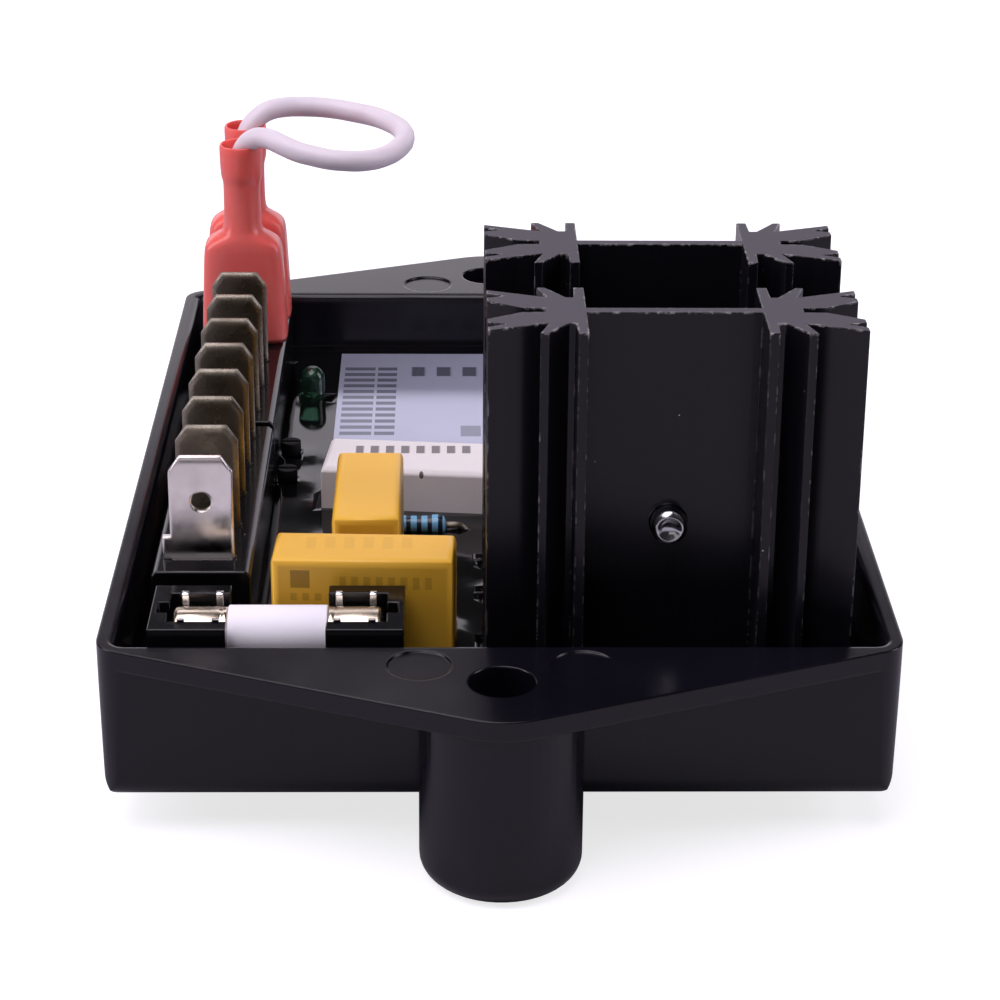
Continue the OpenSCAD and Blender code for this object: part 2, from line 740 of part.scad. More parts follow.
module thermal_pad_front() { color("#c9c4b4") translate([sink_x, sink_ys[0], 0]) thermal_pad(); }
module thermal_pad_rear() { color("#c9c4b4") translate([sink_x, sink_ys[1], 0]) thermal_pad(); }
module device_frame_front() { color(bare_steel) translate([sink_x, sink_ys[0], 0]) device_frame(); }
module device_frame_rear() { color(bare_steel) translate([sink_x, sink_ys[1], 0]) device_frame(); }
module power_device_front() { color(black_moulding) translate([sink_x, sink_ys[0], 0]) device_body(); }
module power_device_rear() { color(black_moulding) translate([sink_x, sink_ys[1], 0]) device_body(); }

// Pan head screw along Y, its point towards the front
module sink_screw() {
    back = device_y + device_tab_t + washer_t;
    front = -sink_web / 2 - screw_end;
    tip = 0.5;
    dish = 0.5;
    crown = 0.6;
    slot_w = 0.8;
    difference() {
        translate([0, front, screw_z]) rotate([-90, 0, 0]) rotate_extrude()
            polygon([[0, dish], [tip, dish], [screw_d / 2 - tip, 0], [screw_d / 2, tip],
                     [screw_d / 2, back - front], [screw_head_d / 2, back - front],
                     [screw_head_d / 2, back - front + screw_head_h - crown],
                     [screw_head_d / 2 - crown, back - front + screw_head_h],
                     [0, back - front + screw_head_h]]);
        translate([-screw_head_d, back + screw_head_h / 2, screw_z - slot_w / 2])
            cube([2 * screw_head_d, screw_head_h, slot_w]);
    }
}

module sink_screws() { color(bare_steel) for (y = sink_ys) translate([sink_x, y, 0]) sink_screw(); }

module sink_washers() {
    color(bare_steel) for (y = sink_ys)
        translate([sink_x, y + device_y + device_tab_t, screw_z]) rotate([-90, 0, 0]) difference() {
            cylinder(d = washer_d, h = washer_t);
            translate([0, 0, -1]) cylinder(d = screw_d + 0.2, h = washer_t + 2);
        }
}

// Terminals

// Place of terminal base i: 0 at the front, 1 at the rear
function block_y0(i) = tab_y(i * tabs_per_block) - block_margin;
block_l = (tabs_per_block - 1) * tab_pitch + 2 * block_margin;

module block_envelope(i) {
    translate([tab_x, block_y0(i) + block_l, board_top]) rotate([90, 0, 0]) linear_extrude(block_l)
        polygon([[-block_w / 2, 0], [block_w / 2, 0], [block_w / 2, block_h - block_bevel],
                 [block_w / 2 - block_bevel, block_h], [-block_w / 2 + block_bevel, block_h],
                 [-block_w / 2, block_h - block_bevel]]);
}

// Five-way moulded base with a slot for each blade and its leg
module terminal_block(i) {
    difference() {
        block_envelope(i);
        for (k = [0 : tabs_per_block - 1])
            translate([tab_x, tab_y(i * tabs_per_block + k), 0]) {
                translate([-tab_w / 2 - fit, -tab_t / 2 - fit, block_top - tab_grip - fit])
                    cube([tab_w + 2 * fit, tab_t + 2 * fit, tab_grip + 1]);
                translate([-leg_w / 2 - fit, -tab_t / 2 - fit, board_top - 1])
                    cube([leg_w + 2 * fit, tab_t + 2 * fit, block_h + 1]);
            }
    }
}

module terminal_block_front() { color(black_moulding) terminal_block(0); }
module terminal_block_rear() { color(black_moulding) terminal_block(1); }

// Blade outline seen from the front, z = 0 at the top of its base
module tab_outline() {
    polygon([[-tab_w / 2, -tab_grip], [-leg_w / 2, -tab_grip], [-leg_w / 2, board_z - block_top],
             [leg_w / 2, board_z - block_top], [leg_w / 2, -tab_grip], [tab_w / 2, -tab_grip],
             [tab_w / 2, tab_h - tip_chamfer_h], [tab_w / 2 - tip_chamfer_w, tab_h],
             [-tab_w / 2 + tip_chamfer_w, tab_h], [-tab_w / 2, tab_h - tip_chamfer_h],
             [-tab_w / 2, shoulder_h], [-tab_w / 2 - shoulder_w, shoulder_h],
             [-tab_w / 2 - shoulder_w, 0], [-tab_w / 2, 0]]);
}

// Tinned blade with a pierced hole and a bevelled tip
module terminal_tab(i) {
    low = board_z - block_top - 1;
    color(tinned) translate([tab_x, tab_y(i), block_top]) difference() {
        intersection() {
            rotate([90, 0, 0]) linear_extrude(tab_t, center = true) tab_outline();
            rotate([90, 0, 90]) linear_extrude(2 * tab_w, center = true)
                polygon([[-tab_t / 2, low], [tab_t / 2, low], [tab_t / 2, tab_h - lead_in_h],
                         [tab_t / 2 - lead_in_d, tab_h], [-tab_t / 2 + lead_in_d, tab_h],
                         [-tab_t / 2, tab_h - lead_in_h]]);
        }
        translate([0, 0, tab_h - tab_hole_drop]) rotate([90, 0, 0])
            cylinder(d = tab_hole_d, h = 2 * tab_t, center = true);
    }
}

// Receptacles and jumper

// Thin slab with round ends, for the ends of a blended form
module sleeve_slab(w, d, z) {
    translate([0, 0, z]) linear_extrude(eps) rounded_rect(w, d, d * 0.4, $fn = 32);
}

// Places on a receptacle, z = 0 at the top of the terminal base
contact_gap = 0.2;
contact_z = shoulder_h + contact_gap;
sleeve_body_h = tab_h + sleeve_over;
neck_z = sleeve_body_h + sleeve_shoulder_h;
waist_z = neck_z + 0.54 * (sleeve_h - neck_z);
flare_z = neck_z + 0.61 * (sleeve_h - neck_z);
barrel_waist = 0.05;
sleeve_depth_loss = 0.4;

// Section of the rolled socket: the curled sides clear the blade's corners
curl_in = tab_t / 2 + fit;
curl_r = curl_in + contact_t;
curl_x = tab_w / 2 + fit - sqrt(pow(curl_in, 2) - pow(tab_t / 2, 2));
curl_lip = 1.2;
socket_w = 2 * (curl_x + curl_r + socket_play);
contact_tube_d = barrel_bore_d - socket_play;

// Hollow sleeve with a drafted body, a sloping shoulder and a flared barrel
module receptacle_sleeve() {
    difference() {
        union() {
            hull() {
                sleeve_slab(sleeve_w, sleeve_d, 0);
                sleeve_slab(sleeve_top_w, sleeve_d - sleeve_depth_loss, sleeve_body_h);
            }
            hull() {
                sleeve_slab(sleeve_top_w, sleeve_d - sleeve_depth_loss, sleeve_body_h - eps);
                sleeve_slab(sleeve_top_w - 2 * sleeve_depth_loss, sleeve_d - 1.5 * sleeve_depth_loss,
                            sleeve_body_h + 0.35 * sleeve_shoulder_h);
                translate([0, 0, neck_z]) cylinder(d = barrel_d, h = eps, $fn = 32);
            }
            rotate_extrude()
                polygon([[0, neck_z], [barrel_d / 2, neck_z], [barrel_d / 2 - barrel_waist, waist_z],
                         [barrel_end_d / 2 - socket_play, flare_z], [barrel_end_d / 2, sleeve_h],
                         [0, sleeve_h]]);
        }
        translate([-socket_w / 2, -socket_d / 2, -1])
            cube([socket_w, socket_d, contact_z + contact_h + contact_gap + 1]);
        translate([-tab_w / 2 - fit, -curl_r, 0]) cube([tab_w + 2 * fit, 2 * curl_r, tab_h + fit]);
        translate([-tab_w / 2 - shoulder_w - contact_gap, -tab_t / 2 - contact_gap, -1])
            cube([tab_w / 2 + shoulder_w, tab_t + 2 * contact_gap, contact_z + 1]);
        cylinder(d = barrel_bore_d, h = sleeve_h + 1);
        translate([0, 0, flare_z])
            cylinder(d1 = barrel_bore_d, d2 = barrel_mouth_d, h = sleeve_h - flare_z + eps);
    }
}

// A flat back and two curled sides that grip the blade
module contact_section() {
    translate([-curl_x, curl_in]) square([2 * curl_x, contact_t]);
    for (side = [0, 1]) mirror([side, 0]) translate([curl_x, 0]) {
        difference() {
            circle(curl_r);
            circle(curl_in);
            translate([-2 * curl_r, -2 * curl_r]) square([2 * curl_r, 4 * curl_r]);
        }
        translate([-curl_lip, -curl_r]) square([curl_lip, contact_t]);
    }
}

// Metal socket inside a sleeve, with a crimped tube for the wire
module receptacle_contact() {
    tube_z = contact_z + contact_h + contact_neck;
    tube_h = wire_route[0][2] - block_top - tube_z;
    strip_w = 2 * sqrt(pow(contact_tube_d / 2, 2) - pow(curl_r, 2)) - 2 * socket_play;
    translate([0, 0, contact_z]) linear_extrude(contact_h) contact_section();
    translate([-strip_w / 2, curl_in, contact_z]) cube([strip_w, contact_t, tube_z - contact_z + contact_t]);
    translate([0, 0, tube_z]) difference() {
        cylinder(d = contact_tube_d, h = tube_h);
        translate([0, 0, -1]) cylinder(d = wire_d - 2 * contact_t, h = tube_h + 2);
    }
}

module receptacle_place(i) { translate([tab_x, tab_y(receptacle_tabs[i]), block_top]) children(); }
module receptacle_sleeve_front() { color(nylon_red) receptacle_place(0) receptacle_sleeve(); }
module receptacle_sleeve_rear() { color(nylon_red) receptacle_place(1) receptacle_sleeve(); }
module receptacle_contact_front() { color(tinned) receptacle_place(0) receptacle_contact(); }
module receptacle_contact_rear() { color(tinned) receptacle_place(1) receptacle_contact(); }

function unit(v) = v / norm(v);

// Ring of points round the route at its point i, square to the way the route runs there
function wire_ring(i) =
    let (n = len(wire_route),
         t = unit(wire_route[min(i + 1, n - 1)] - wire_route[max(i - 1, 0)]),
         s = unit(cross(t, [1, -1, 1])),
         u = cross(s, t))
    [for (k = [0 : wire_sides - 1])
        let (a = 360 * k / wire_sides)
        wire_route[i] + wire_d / 2 * (cos(a) * s + sin(a) * u)];

module jumper_wire() {
    n = len(wire_route);
    points = [for (i = [0 : n - 1]) each wire_ring(i)];
    sides = [for (i = [0 : n - 2], k = [0 : wire_sides - 1])
        let (a = i * wire_sides + k, b = i * wire_sides + (k + 1) % wire_sides)
        each [[a, b, b + wire_sides], [a, b + wire_sides, a + wire_sides]]];
    ends = [[for (k = [0 : wire_sides - 1]) wire_sides - 1 - k],
            [for (k = [0 : wire_sides - 1]) (n - 1) * wire_sides + k]];
    color(wire_white) polyhedron(points = points, faces = concat(sides, ends));
}

// Fuse

trough_w = fuse_d + 2 * clip_t + 4 * fit;
trough_z = fuse_z - fuse_d / 2 - clip_t - 2 * fit;
notch_depth = 3;

// Holder with an open trough at each end, joined by a low bar
module fuse_holder() {
    ends_x = holder_l / 2 - holder_block_l;
    color(black_moulding) translate([holder_x, holder_y, 0]) difference() {
        translate([-holder_l / 2, -holder_d / 2, board_top]) cube([holder_l, holder_d, holder_h]);
        translate([-ends_x, -holder_d, board_top + holder_bar_h])
            cube([2 * ends_x, 2 * holder_d, holder_h]);
        translate([-fuse_l / 2 - holder_room, -trough_w / 2, trough_z])
            cube([fuse_l + 2 * holder_room, trough_w, holder_h]);
        for (side = [-1, 1]) {
            translate([side * (fuse_l / 2 + holder_room) - holder_notch, -holder_notch,
                       holder_top - notch_depth])
                cube([2 * holder_notch, 2 * holder_notch, notch_depth + 1]);
            translate([side * (fuse_l - fuse_cap_l) / 2 - clip_leg_w / 2 - fit, -clip_t / 2 - fit,
                       board_top - 1])
                cube([clip_leg_w + 2 * fit, clip_t + 2 * fit, holder_h]);
        }
    }
}

// Spring clip: a base with a leg, and forked arms that lean out at their tips
module fuse_clip() {
    inner = fuse_d / 2 + fit;
    base_z = trough_z + fit;
    tip_z = holder_top + prong_rise;
    flare = 0.25;
    difference() {
        rotate([90, 0, 90]) linear_extrude(clip_w, center = true) {
            translate([-inner - clip_t, base_z]) square([2 * (inner + clip_t), clip_t]);
            for (side = [0, 1]) mirror([side, 0])
                polygon([[inner, base_z], [inner + clip_t, base_z], [inner + clip_t, holder_top],
                         [inner + clip_t + flare, tip_z], [inner + flare, tip_z],
                         [inner, holder_top]]);
        }
        translate([-clip_w / 2 + prong_w, -holder_d / 2, fuse_z])
            cube([clip_w - 2 * prong_w, holder_d, holder_h]);
    }
    translate([-clip_leg_w / 2, -clip_t / 2, board_z])
        cube([clip_leg_w, clip_t, base_z + clip_t - board_z]);
}

module fuse_clip_left() { color(bare_steel) translate([clip_places[0][0], holder_y, 0]) fuse_clip(); }
module fuse_clip_right() { color(bare_steel) translate([clip_places[1][0], holder_y, 0]) fuse_clip(); }

// Place of the fuse, with its length along local Z
module fuse_place() { translate([holder_x, holder_y, fuse_z]) rotate([0, 90, 0]) children(); }

module fuse_body() {
    r_seat = fuse_d / 2 - fuse_cap_t - fit;
    open_l = fuse_l - 2 * fuse_cap_l;
    color(ceramic_white) fuse_place() {
        cylinder(d = fuse_tube_d, h = open_l - 2 * fit, center = true);
        cylinder(r = r_seat, h = fuse_l - 2 * fuse_cap_t - 2 * fit, center = true);
    }
}

// Drawn cap, closed at its outer end
module fuse_cap() {
    edge = 0.3;
    rotate_extrude() difference() {
        polygon([[0, 0], [fuse_d / 2, 0], [fuse_d / 2, fuse_cap_l - edge],
                 [fuse_d / 2 - edge, fuse_cap_l], [0, fuse_cap_l]]);
        translate([-1, -1]) square([fuse_d / 2 - fuse_cap_t + 1, fuse_cap_l - fuse_cap_t + 1]);
    }
}

module fuse_cap_left() {
    color(bare_steel) fuse_place() mirror([0, 0, 1]) translate([0, 0, fuse_l / 2 - fuse_cap_l]) fuse_cap();
}
module fuse_cap_right() {
    color(bare_steel) fuse_place() translate([0, 0, fuse_l / 2 - fuse_cap_l]) fuse_cap();
}

// Board parts

// Moulded box with round upright and upper edges, standing at z = 0 with its length along X
module capacitor_body() {
    intersection() {
        rotate([90, 0, 0]) linear_extrude(capacitor_t + 2, center = true)
            round_top_section(capacitor_l, capacitor_h, capacitor_r);
        rotate([90, 0, 90]) linear_extrude(capacitor_l + 2, center = true)
            round_top_section(capacitor_t, capacitor_h, capacitor_r);
        linear_extrude(capacitor_h) rounded_rect(capacitor_l, capacitor_t, capacitor_r);
    }
}

module front_capacitor_place() {
    translate([capacitor_x, front_capacitor_y, board_top]) rotate(capacitor_turn) children();
}
module rear_capacitor_place() {
    translate([capacitor_x, rear_capacitor_y, board_top]) rotate(90) children();
}
module film_capacitor_front() { color(capacitor_yellow) front_capacitor_place() capacitor_body(); }
module film_capacitor_rear() { color(capacitor_yellow) rear_capacitor_place() capacitor_body(); }

// Straight leads through the board at each of the places
module board_leads(places) {
    for (p = places) translate([p[0], p[1], board_z]) cylinder(d = lead_d, h = board_t);
}

module capacitor_leads() { color(tinned) board_leads(capacitor_lead_places); }

module cement_place() { translate([cement_x, cement_y, board_top]) rotate(cement_turn) children(); }

// Ceramic trough with bevelled upper edges, its length along X
module cement_body() {
    b = cement_bevel;
    intersection() {
        rotate([90, 0, 0]) linear_extrude(cement_w, center = true)
            polygon([[-cement_l / 2, 0], [cement_l / 2, 0], [cement_l / 2, cement_h - b],
                     [cement_l / 2 - b, cement_h], [-cement_l / 2 + b, cement_h],
                     [-cement_l / 2, cement_h - b]]);
        rotate([90, 0, 90]) linear_extrude(cement_l, center = true)
            polygon([[-cement_w / 2, 0], [cement_w / 2, 0], [cement_w / 2, cement_h - b],
                     [cement_w / 2 - b, cement_h], [-cement_w / 2 + b, cement_h],
                     [-cement_w / 2, cement_h - b]]);
    }
}

module cement_resistor() { color(ceramic_white) cement_place() cement_body(); }
module cement_resistor_leads() { color(tinned) board_leads(cement_lead_places); }

module film_place() { translate([film_x, film_y, film_z]) rotate([0, 90, 0]) children(); }

// Small coated resistor, thicker at its two ends, with its length along local Z
module film_body() {
    r = film_d / 2;
    waist = 0.85 * r;
    end_l = 0.26 * film_l;
    rotate_extrude()
        polygon([[0, -film_l / 2], [0.6 * r, -film_l / 2], [r, -film_l / 2 + 0.35], [r, -film_l / 2 + end_l],
                 [waist, -film_l / 2 + end_l + 0.4], [waist, film_l / 2 - end_l - 0.4],
                 [r, film_l / 2 - end_l], [r, film_l / 2 - 0.35], [0.6 * r, film_l / 2], [0, film_l / 2]]);
}

module film_resistor() { color("#5b9cc4") film_place() film_body(); }

// Wires that leave the film resistor's ends and turn down into the board
module film_lead_wires() {
    bend = 2 * lead_d;
    for (side = [0, 1]) translate([film_x, film_y, 0]) mirror([side, 0, 0]) {
        translate([film_l / 2, 0, film_z]) rotate([0, 90, 0])
            cylinder(d = lead_d, h = film_lead_reach - bend);
        translate([film_l / 2 + film_lead_reach - bend, 0, film_z - bend]) rotate([90, 0, 0])
            rotate_extrude(angle = 90) translate([bend, 0]) circle(d = lead_d);
        translate([film_l / 2 + film_lead_reach, 0, board_z])
            cylinder(d = lead_d, h = film_z - bend - board_z);
    }
}

module film_resistor_leads() { color(tinned) film_lead_wires(); }

module label() {
    color("#d8dade") translate([label_x0, label_y0, resin_top])
        cube([label_w, label_y1 - label_y0, label_t]);
}

// Domed lens with a rim at its foot
module lamp_lens() {
    dome_z = resin_top + lamp_rise - lamp_d / 2;
    translate([lamp_x, lamp_y, 0]) {
        translate([0, 0, lamp_z]) cylinder(d = lamp_d + lamp_rim, h = lamp_rim);
        translate([0, 0, lamp_z]) cylinder(d = lamp_d, h = dome_z - lamp_z);
        translate([0, 0, dome_z]) sphere(d = lamp_d);
    }
}

module lamp_wires() {
    for (p = lamp_lead_places) translate([p[0], p[1], board_z]) cylinder(d = lead_d, h = lamp_z - board_z);
}

module status_led() { color("#3fae6a") lamp_lens(); }
module status_led_leads() { color(tinned) lamp_wires(); }

// Trimmers

module trimmer_at(i) { translate([trimmer_x, trimmer_ys[i], board_top]) children(); }

neck_d = trimmer_spindle_d + 2 * spindle_play + 2 * neck_wall;
neck_top = resin_top - board_top;

// Body and neck without the spindle's bore; the spindle stands near one side of the body
module trimmer_envelope() {
    translate([-trimmer_head_d / 2, -trimmer_w / 2, 0]) cube([trimmer_w, trimmer_w, trimmer_body_h]);
    cylinder(d = neck_d, h = neck_top);
}

module trimmer_body() {
    difference() {
        trimmer_envelope();
        translate([0, 0, trimmer_pocket])
            cylinder(d = trimmer_spindle_d + 2 * spindle_play, h = neck_top);
    }
}

// Adjuster with a screwdriver slot, on a spindle that turns in the neck
module trimmer_rotor() {
    foot = trimmer_pocket + adjuster_gap;
    head_z = neck_top + adjuster_gap;
    slot_w = 0.45;
    slot_depth = 0.6;
    difference() {
        union() {
            translate([0, 0, foot]) cylinder(d = trimmer_spindle_d, h = head_z - foot + eps);
            translate([0, 0, head_z]) cylinder(d = trimmer_head_d, h = trimmer_head_h);
        }
        translate([-trimmer_head_d, -slot_w / 2, head_z + trimmer_head_h - slot_depth])
            cube([2 * trimmer_head_d, slot_w, slot_depth + 1]);
    }
}

module trimmer_body_front() { color(black_moulding) trimmer_at(0) trimmer_body(); }
module trimmer_body_rear() { color(black_moulding) trimmer_at(1) trimmer_body(); }
module trimmer_rotor_front() { color(black_moulding) trimmer_at(0) trimmer_rotor(); }
module trimmer_rotor_rear() { color(black_moulding) trimmer_at(1) trimmer_rotor(); }

// Parts wholly under the resin

module chip_body() {
    translate([chip_place[0], chip_place[1], board_top + chip_size[2] / 2]) cube(chip_size, center = true);
}

module diode_bodies() {
    for (i = [0 : 3])
        translate([diode_place[0], diode_place[1] + i * diode_pitch, board_top + diode_d / 2])
            rotate([0, 90, 0]) cylinder(d = diode_d, h = diode_l, center = true);
}

module control_chip() { color(black_moulding) chip_body(); }
module rectifier_diodes() { color(black_moulding) diode_bodies(); }

case();
potting();
circuit_board();
heat_sink_front();
heat_sink_rear();
heat_sink_pins();
thermal_pad_front();
thermal_pad_rear();
device_frame_front();
device_frame_rear();
power_device_front();
power_device_rear();
sink_screws();
sink_washers();
terminal_block_front();
terminal_block_rear();
for (i = [0 : tab_count - 1])
    terminal_tab(i);
receptacle_sleeve_front();
receptacle_sleeve_rear();
receptacle_contact_front();
receptacle_contact_rear();
jumper_wire();
fuse_holder();
fuse_clip_left();
fuse_clip_right();
fuse_body();
fuse_cap_left();
fuse_cap_right();
film_capacitor_front();
film_capacitor_rear();
capacitor_leads();
cement_resistor();
cement_resistor_leads();
film_resistor();
film_resistor_leads();
label();
status_led();
status_led_leads();
trimmer_body_front();
trimmer_body_rear();
trimmer_rotor_front();
trimmer_rotor_rear();
control_chip();
rectifier_diodes();
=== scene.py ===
"""Looks of a potted generator voltage regulator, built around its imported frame."""

import logging
import math
from dataclasses import dataclass
from enum import Enum

import bmesh
import bpy
from mathutils import Matrix, Vector, kdtree, noise


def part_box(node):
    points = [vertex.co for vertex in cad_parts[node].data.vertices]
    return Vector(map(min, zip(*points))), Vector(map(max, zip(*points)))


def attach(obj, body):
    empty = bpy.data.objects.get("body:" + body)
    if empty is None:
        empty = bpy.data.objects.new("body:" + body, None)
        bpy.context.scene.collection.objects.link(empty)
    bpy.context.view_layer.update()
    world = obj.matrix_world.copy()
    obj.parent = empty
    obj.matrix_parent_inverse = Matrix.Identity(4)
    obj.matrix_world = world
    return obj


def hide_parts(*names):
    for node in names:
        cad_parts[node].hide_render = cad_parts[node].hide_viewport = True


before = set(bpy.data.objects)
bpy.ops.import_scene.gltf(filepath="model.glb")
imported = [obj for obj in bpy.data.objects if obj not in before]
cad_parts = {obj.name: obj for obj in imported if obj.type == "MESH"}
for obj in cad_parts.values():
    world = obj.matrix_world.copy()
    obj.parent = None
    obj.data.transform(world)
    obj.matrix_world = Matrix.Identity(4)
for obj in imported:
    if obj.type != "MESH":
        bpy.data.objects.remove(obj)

LOG = logging.getLogger("regulator")
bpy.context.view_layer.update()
MM = 0.001
WELD_MM = 0.001

Tree = bpy.types.NodeTree
Node = bpy.types.Node
Socket = bpy.types.NodeSocket
Material = bpy.types.Material
Piece = bpy.types.Object
Shape = bmesh.types.BMesh
Point = tuple[float, float, float]
Inputs = dict[str | int, object]


class Body(str, Enum):
    """Rigid bodies that a piece can ride on."""

    ROOT = "root"
    FRONT_ADJUSTER = "front_adjuster"
    REAR_ADJUSTER = "rear_adjuster"


class Row(Enum):
    """Which of two like pieces, from the front of the tray to its rear."""

    FRONT = "front"
    REAR = "rear"


class End(Enum):
    """Ends of the fuse."""

    LEFT = "left"
    RIGHT = "right"


class Axis(Enum):
    """Directions that a turned piece can have."""

    X = (1.0, 0.0, 0.0)
    Z = (0.0, 0.0, 1.0)


def linear(hex_colour: str) -> tuple[float, float, float, float]:
    """Turn an sRGB hex colour into a linear one.

    Args:
        hex_colour: Colour such as "#1b1b1e".

    Returns:
        Linear red, green, blue and an alpha of 1.
    """
    parts = [int(hex_colour[i:i + 2], 16) / 255 for i in (1, 3, 5)]
    rgb = [c / 12.92 if c <= 0.04045 else ((c + 0.055) / 1.055) ** 2.4 for c in parts]
    return rgb[0], rgb[1], rgb[2], 1.0


def feed(tree: Tree, node: Node, inputs: Inputs) -> None:
    """Set or link the inputs of a node.

    Args:
        tree: Node tree that holds the node.
        node: The node.
        inputs: Value or output socket for each input, by name or number; None leaves it as it is.
    """
    for key, value in inputs.items():
        if isinstance(value, Socket):
            tree.links.new(value, node.inputs[key])
        elif value is not None:
            node.inputs[key].default_value = value


def put(tree: Tree, kind: str, inputs: Inputs | None = None, **settings: object) -> Node:
    """Add a node with its settings, values and links.

    Args:
        tree: Node tree that gets the node.
        kind: Blender's name of the shader node type, without its prefix.
        inputs: Value or output socket for each input, by name or number.
        **settings: Attributes of the node.

    Returns:
        The new node.
    """
    node = tree.nodes.new("ShaderNode" + kind)
    for name, value in settings.items():
        setattr(node, name, value)
    feed(tree, node, inputs or {})
    return node


def per_mm(size_mm: float) -> float:
    """Texture scale in metres whose features are about size_mm across."""
    return 1.0 / (size_mm * MM)


def mottle(tree: Tree, size_mm: float, low: str, high: str,
           stretch: Point = (1.0, 1.0, 1.0)) -> tuple[Socket, Socket]:
    """Two-tone cloudy colour in object space.

    Args:
        tree: Node tree that gets the nodes.
        size_mm: Size of one cloud.
        low: Colour of the dark clouds.
        high: Colour of the light clouds.
        stretch: Scale of the pattern along X, Y and Z.

    Returns:
        The colour output and the plain noise output.
    """
    place = put(tree, "TexCoord").outputs["Object"]
    mapped = put(tree, "Mapping", {"Vector": place, "Scale": stretch})
    cloud = put(tree, "TexNoise", {
        "Vector": mapped.outputs["Vector"], "Scale": per_mm(size_mm), "Detail": 4.0, "Roughness": 0.6})
    ramp = put(tree, "Mix", {
        0: cloud.outputs["Fac"], 6: linear(low), 7: linear(high)}, data_type="RGBA")
    return ramp.outputs[2], cloud.outputs["Fac"]


@dataclass(frozen=True)
class Wear:
    """Wear along sharp edges: width of its line, length of one stretch and share of the edge, from 0 to 1."""

    width_mm: float
    patch_mm: float
    share: float


def worn_edges(tree: Tree, wear: Wear) -> Socket:
    """Mask that is 1 on worn stretches of the sharp edges.

    Args:
        tree: Node tree that gets the nodes.
        wear: How the edges are worn.

    Returns:
        The mask's output socket.
    """
    # Near an edge the rounded normal departs from the face's own
    soft = put(tree, "Bevel", {"Radius": wear.width_mm * MM}, samples=6)
    flat = put(tree, "NewGeometry")
    likeness = put(tree, "VectorMath", {
        0: soft.outputs["Normal"], 1: flat.outputs["Normal"]}, operation="DOT_PRODUCT")
    edge = put(tree, "MapRange", {
        "Value": likeness.outputs["Value"], "From Min": 0.97, "From Max": 0.85, "To Min": 0.0, "To Max": 1.0})
    place = put(tree, "TexCoord").outputs["Object"]
    cloud = put(tree, "TexNoise", {
        "Vector": place, "Scale": per_mm(wear.patch_mm), "Detail": 6.0, "Roughness": 0.7})
    # The noise has to pass a level that falls as the worn share grows
    level = 0.72 - 0.4 * wear.share
    patch = put(tree, "MapRange", {
        "Value": cloud.outputs["Fac"], "From Min": level, "From Max": level + 0.08})
    both = put(tree, "Math", {0: edge.outputs["Result"], 1: patch.outputs["Result"]},
               operation="MULTIPLY")
    return both.outputs["Value"]


def specks(tree: Tree, spacing_mm: float, radius_mm: float) -> Socket:
    """Mask that is 1 on small scattered grains.

    Args:
        tree: Node tree that gets the nodes.
        spacing_mm: Mean distance between grains.
        radius_mm: Radius of a grain.

    Returns:
        The mask's output socket.
    """
    place = put(tree, "TexCoord").outputs["Object"]
    cells = put(tree, "TexVoronoi", {"Vector": place, "Scale": per_mm(spacing_mm), "Randomness": 1.0})
    rim = radius_mm / spacing_mm
    grain = put(tree, "MapRange", {
        "Value": cells.outputs["Distance"], "From Min": rim, "From Max": 0.6 * rim})
    return grain.outputs["Result"]


@dataclass(frozen=True)
class Mark:
    """A field of faded print or a stain: a box or an ellipsoid in the part's own space."""

    centre_mm: Point
    half_mm: Point
    colour: str
    cover: float = 0.8
    # Pitch of strokes along X and of rows along Y; 0 leaves the field whole
    stroke_mm: float = 0.0
    row_mm: float = 0.0
    oval: bool = False

    def lay(self, tree: Tree, base: Socket) -> Socket:
        """Lay the mark over a colour.

        Args:
            tree: Node tree that gets the nodes.
            base: Output socket with the colour below.

        Returns:
            The marked colour's output socket.
        """
        place = put(tree, "TexCoord").outputs["Object"]
        local = put(tree, "VectorMath", {
            0: place, 1: tuple(v * MM for v in self.centre_mm)}, operation="SUBTRACT")
        unit = put(tree, "VectorMath", {
            0: local.outputs["Vector"], 1: tuple(v * MM for v in self.half_mm)}, operation="DIVIDE")
        if self.oval:
            far = put(tree, "VectorMath", {0: unit.outputs["Vector"]}, operation="LENGTH").outputs["Value"]
        else:
            out = put(tree, "VectorMath", {0: unit.outputs["Vector"]}, operation="ABSOLUTE")
            split = put(tree, "SeparateXYZ", {0: out.outputs["Vector"]})
            flat = put(tree, "Math", {0: split.outputs["X"], 1: split.outputs["Y"]}, operation="MAXIMUM")
            far = put(tree, "Math", {0: flat.outputs[0], 1: split.outputs["Z"]},
                      operation="MAXIMUM").outputs[0]
        mask = put(tree, "MapRange", {
            "Value": far, "From Min": 1.0, "From Max": 0.98, "To Max": self.cover}).outputs["Result"]
        for axis, pitch in (("X", self.stroke_mm * MM), ("Y", self.row_mm * MM)):
            if pitch:
                along = put(tree, "SeparateXYZ", {0: place}).outputs[axis]
                step = put(tree, "Math", {0: along, 1: pitch}, operation="FLOORED_MODULO")
                line = put(tree, "MapRange", {
                    "Value": step.outputs[0], "From Min": 0.6 * pitch, "From Max": 0.5 * pitch})
                mask = put(tree, "Math", {0: mask, 1: line.outputs["Result"]},
                           operation="MULTIPLY").outputs[0]
        mixed = put(tree, "Mix", {0: mask, 6: base, 7: linear(self.colour)}, data_type="RGBA")
        return mixed.outputs[2]


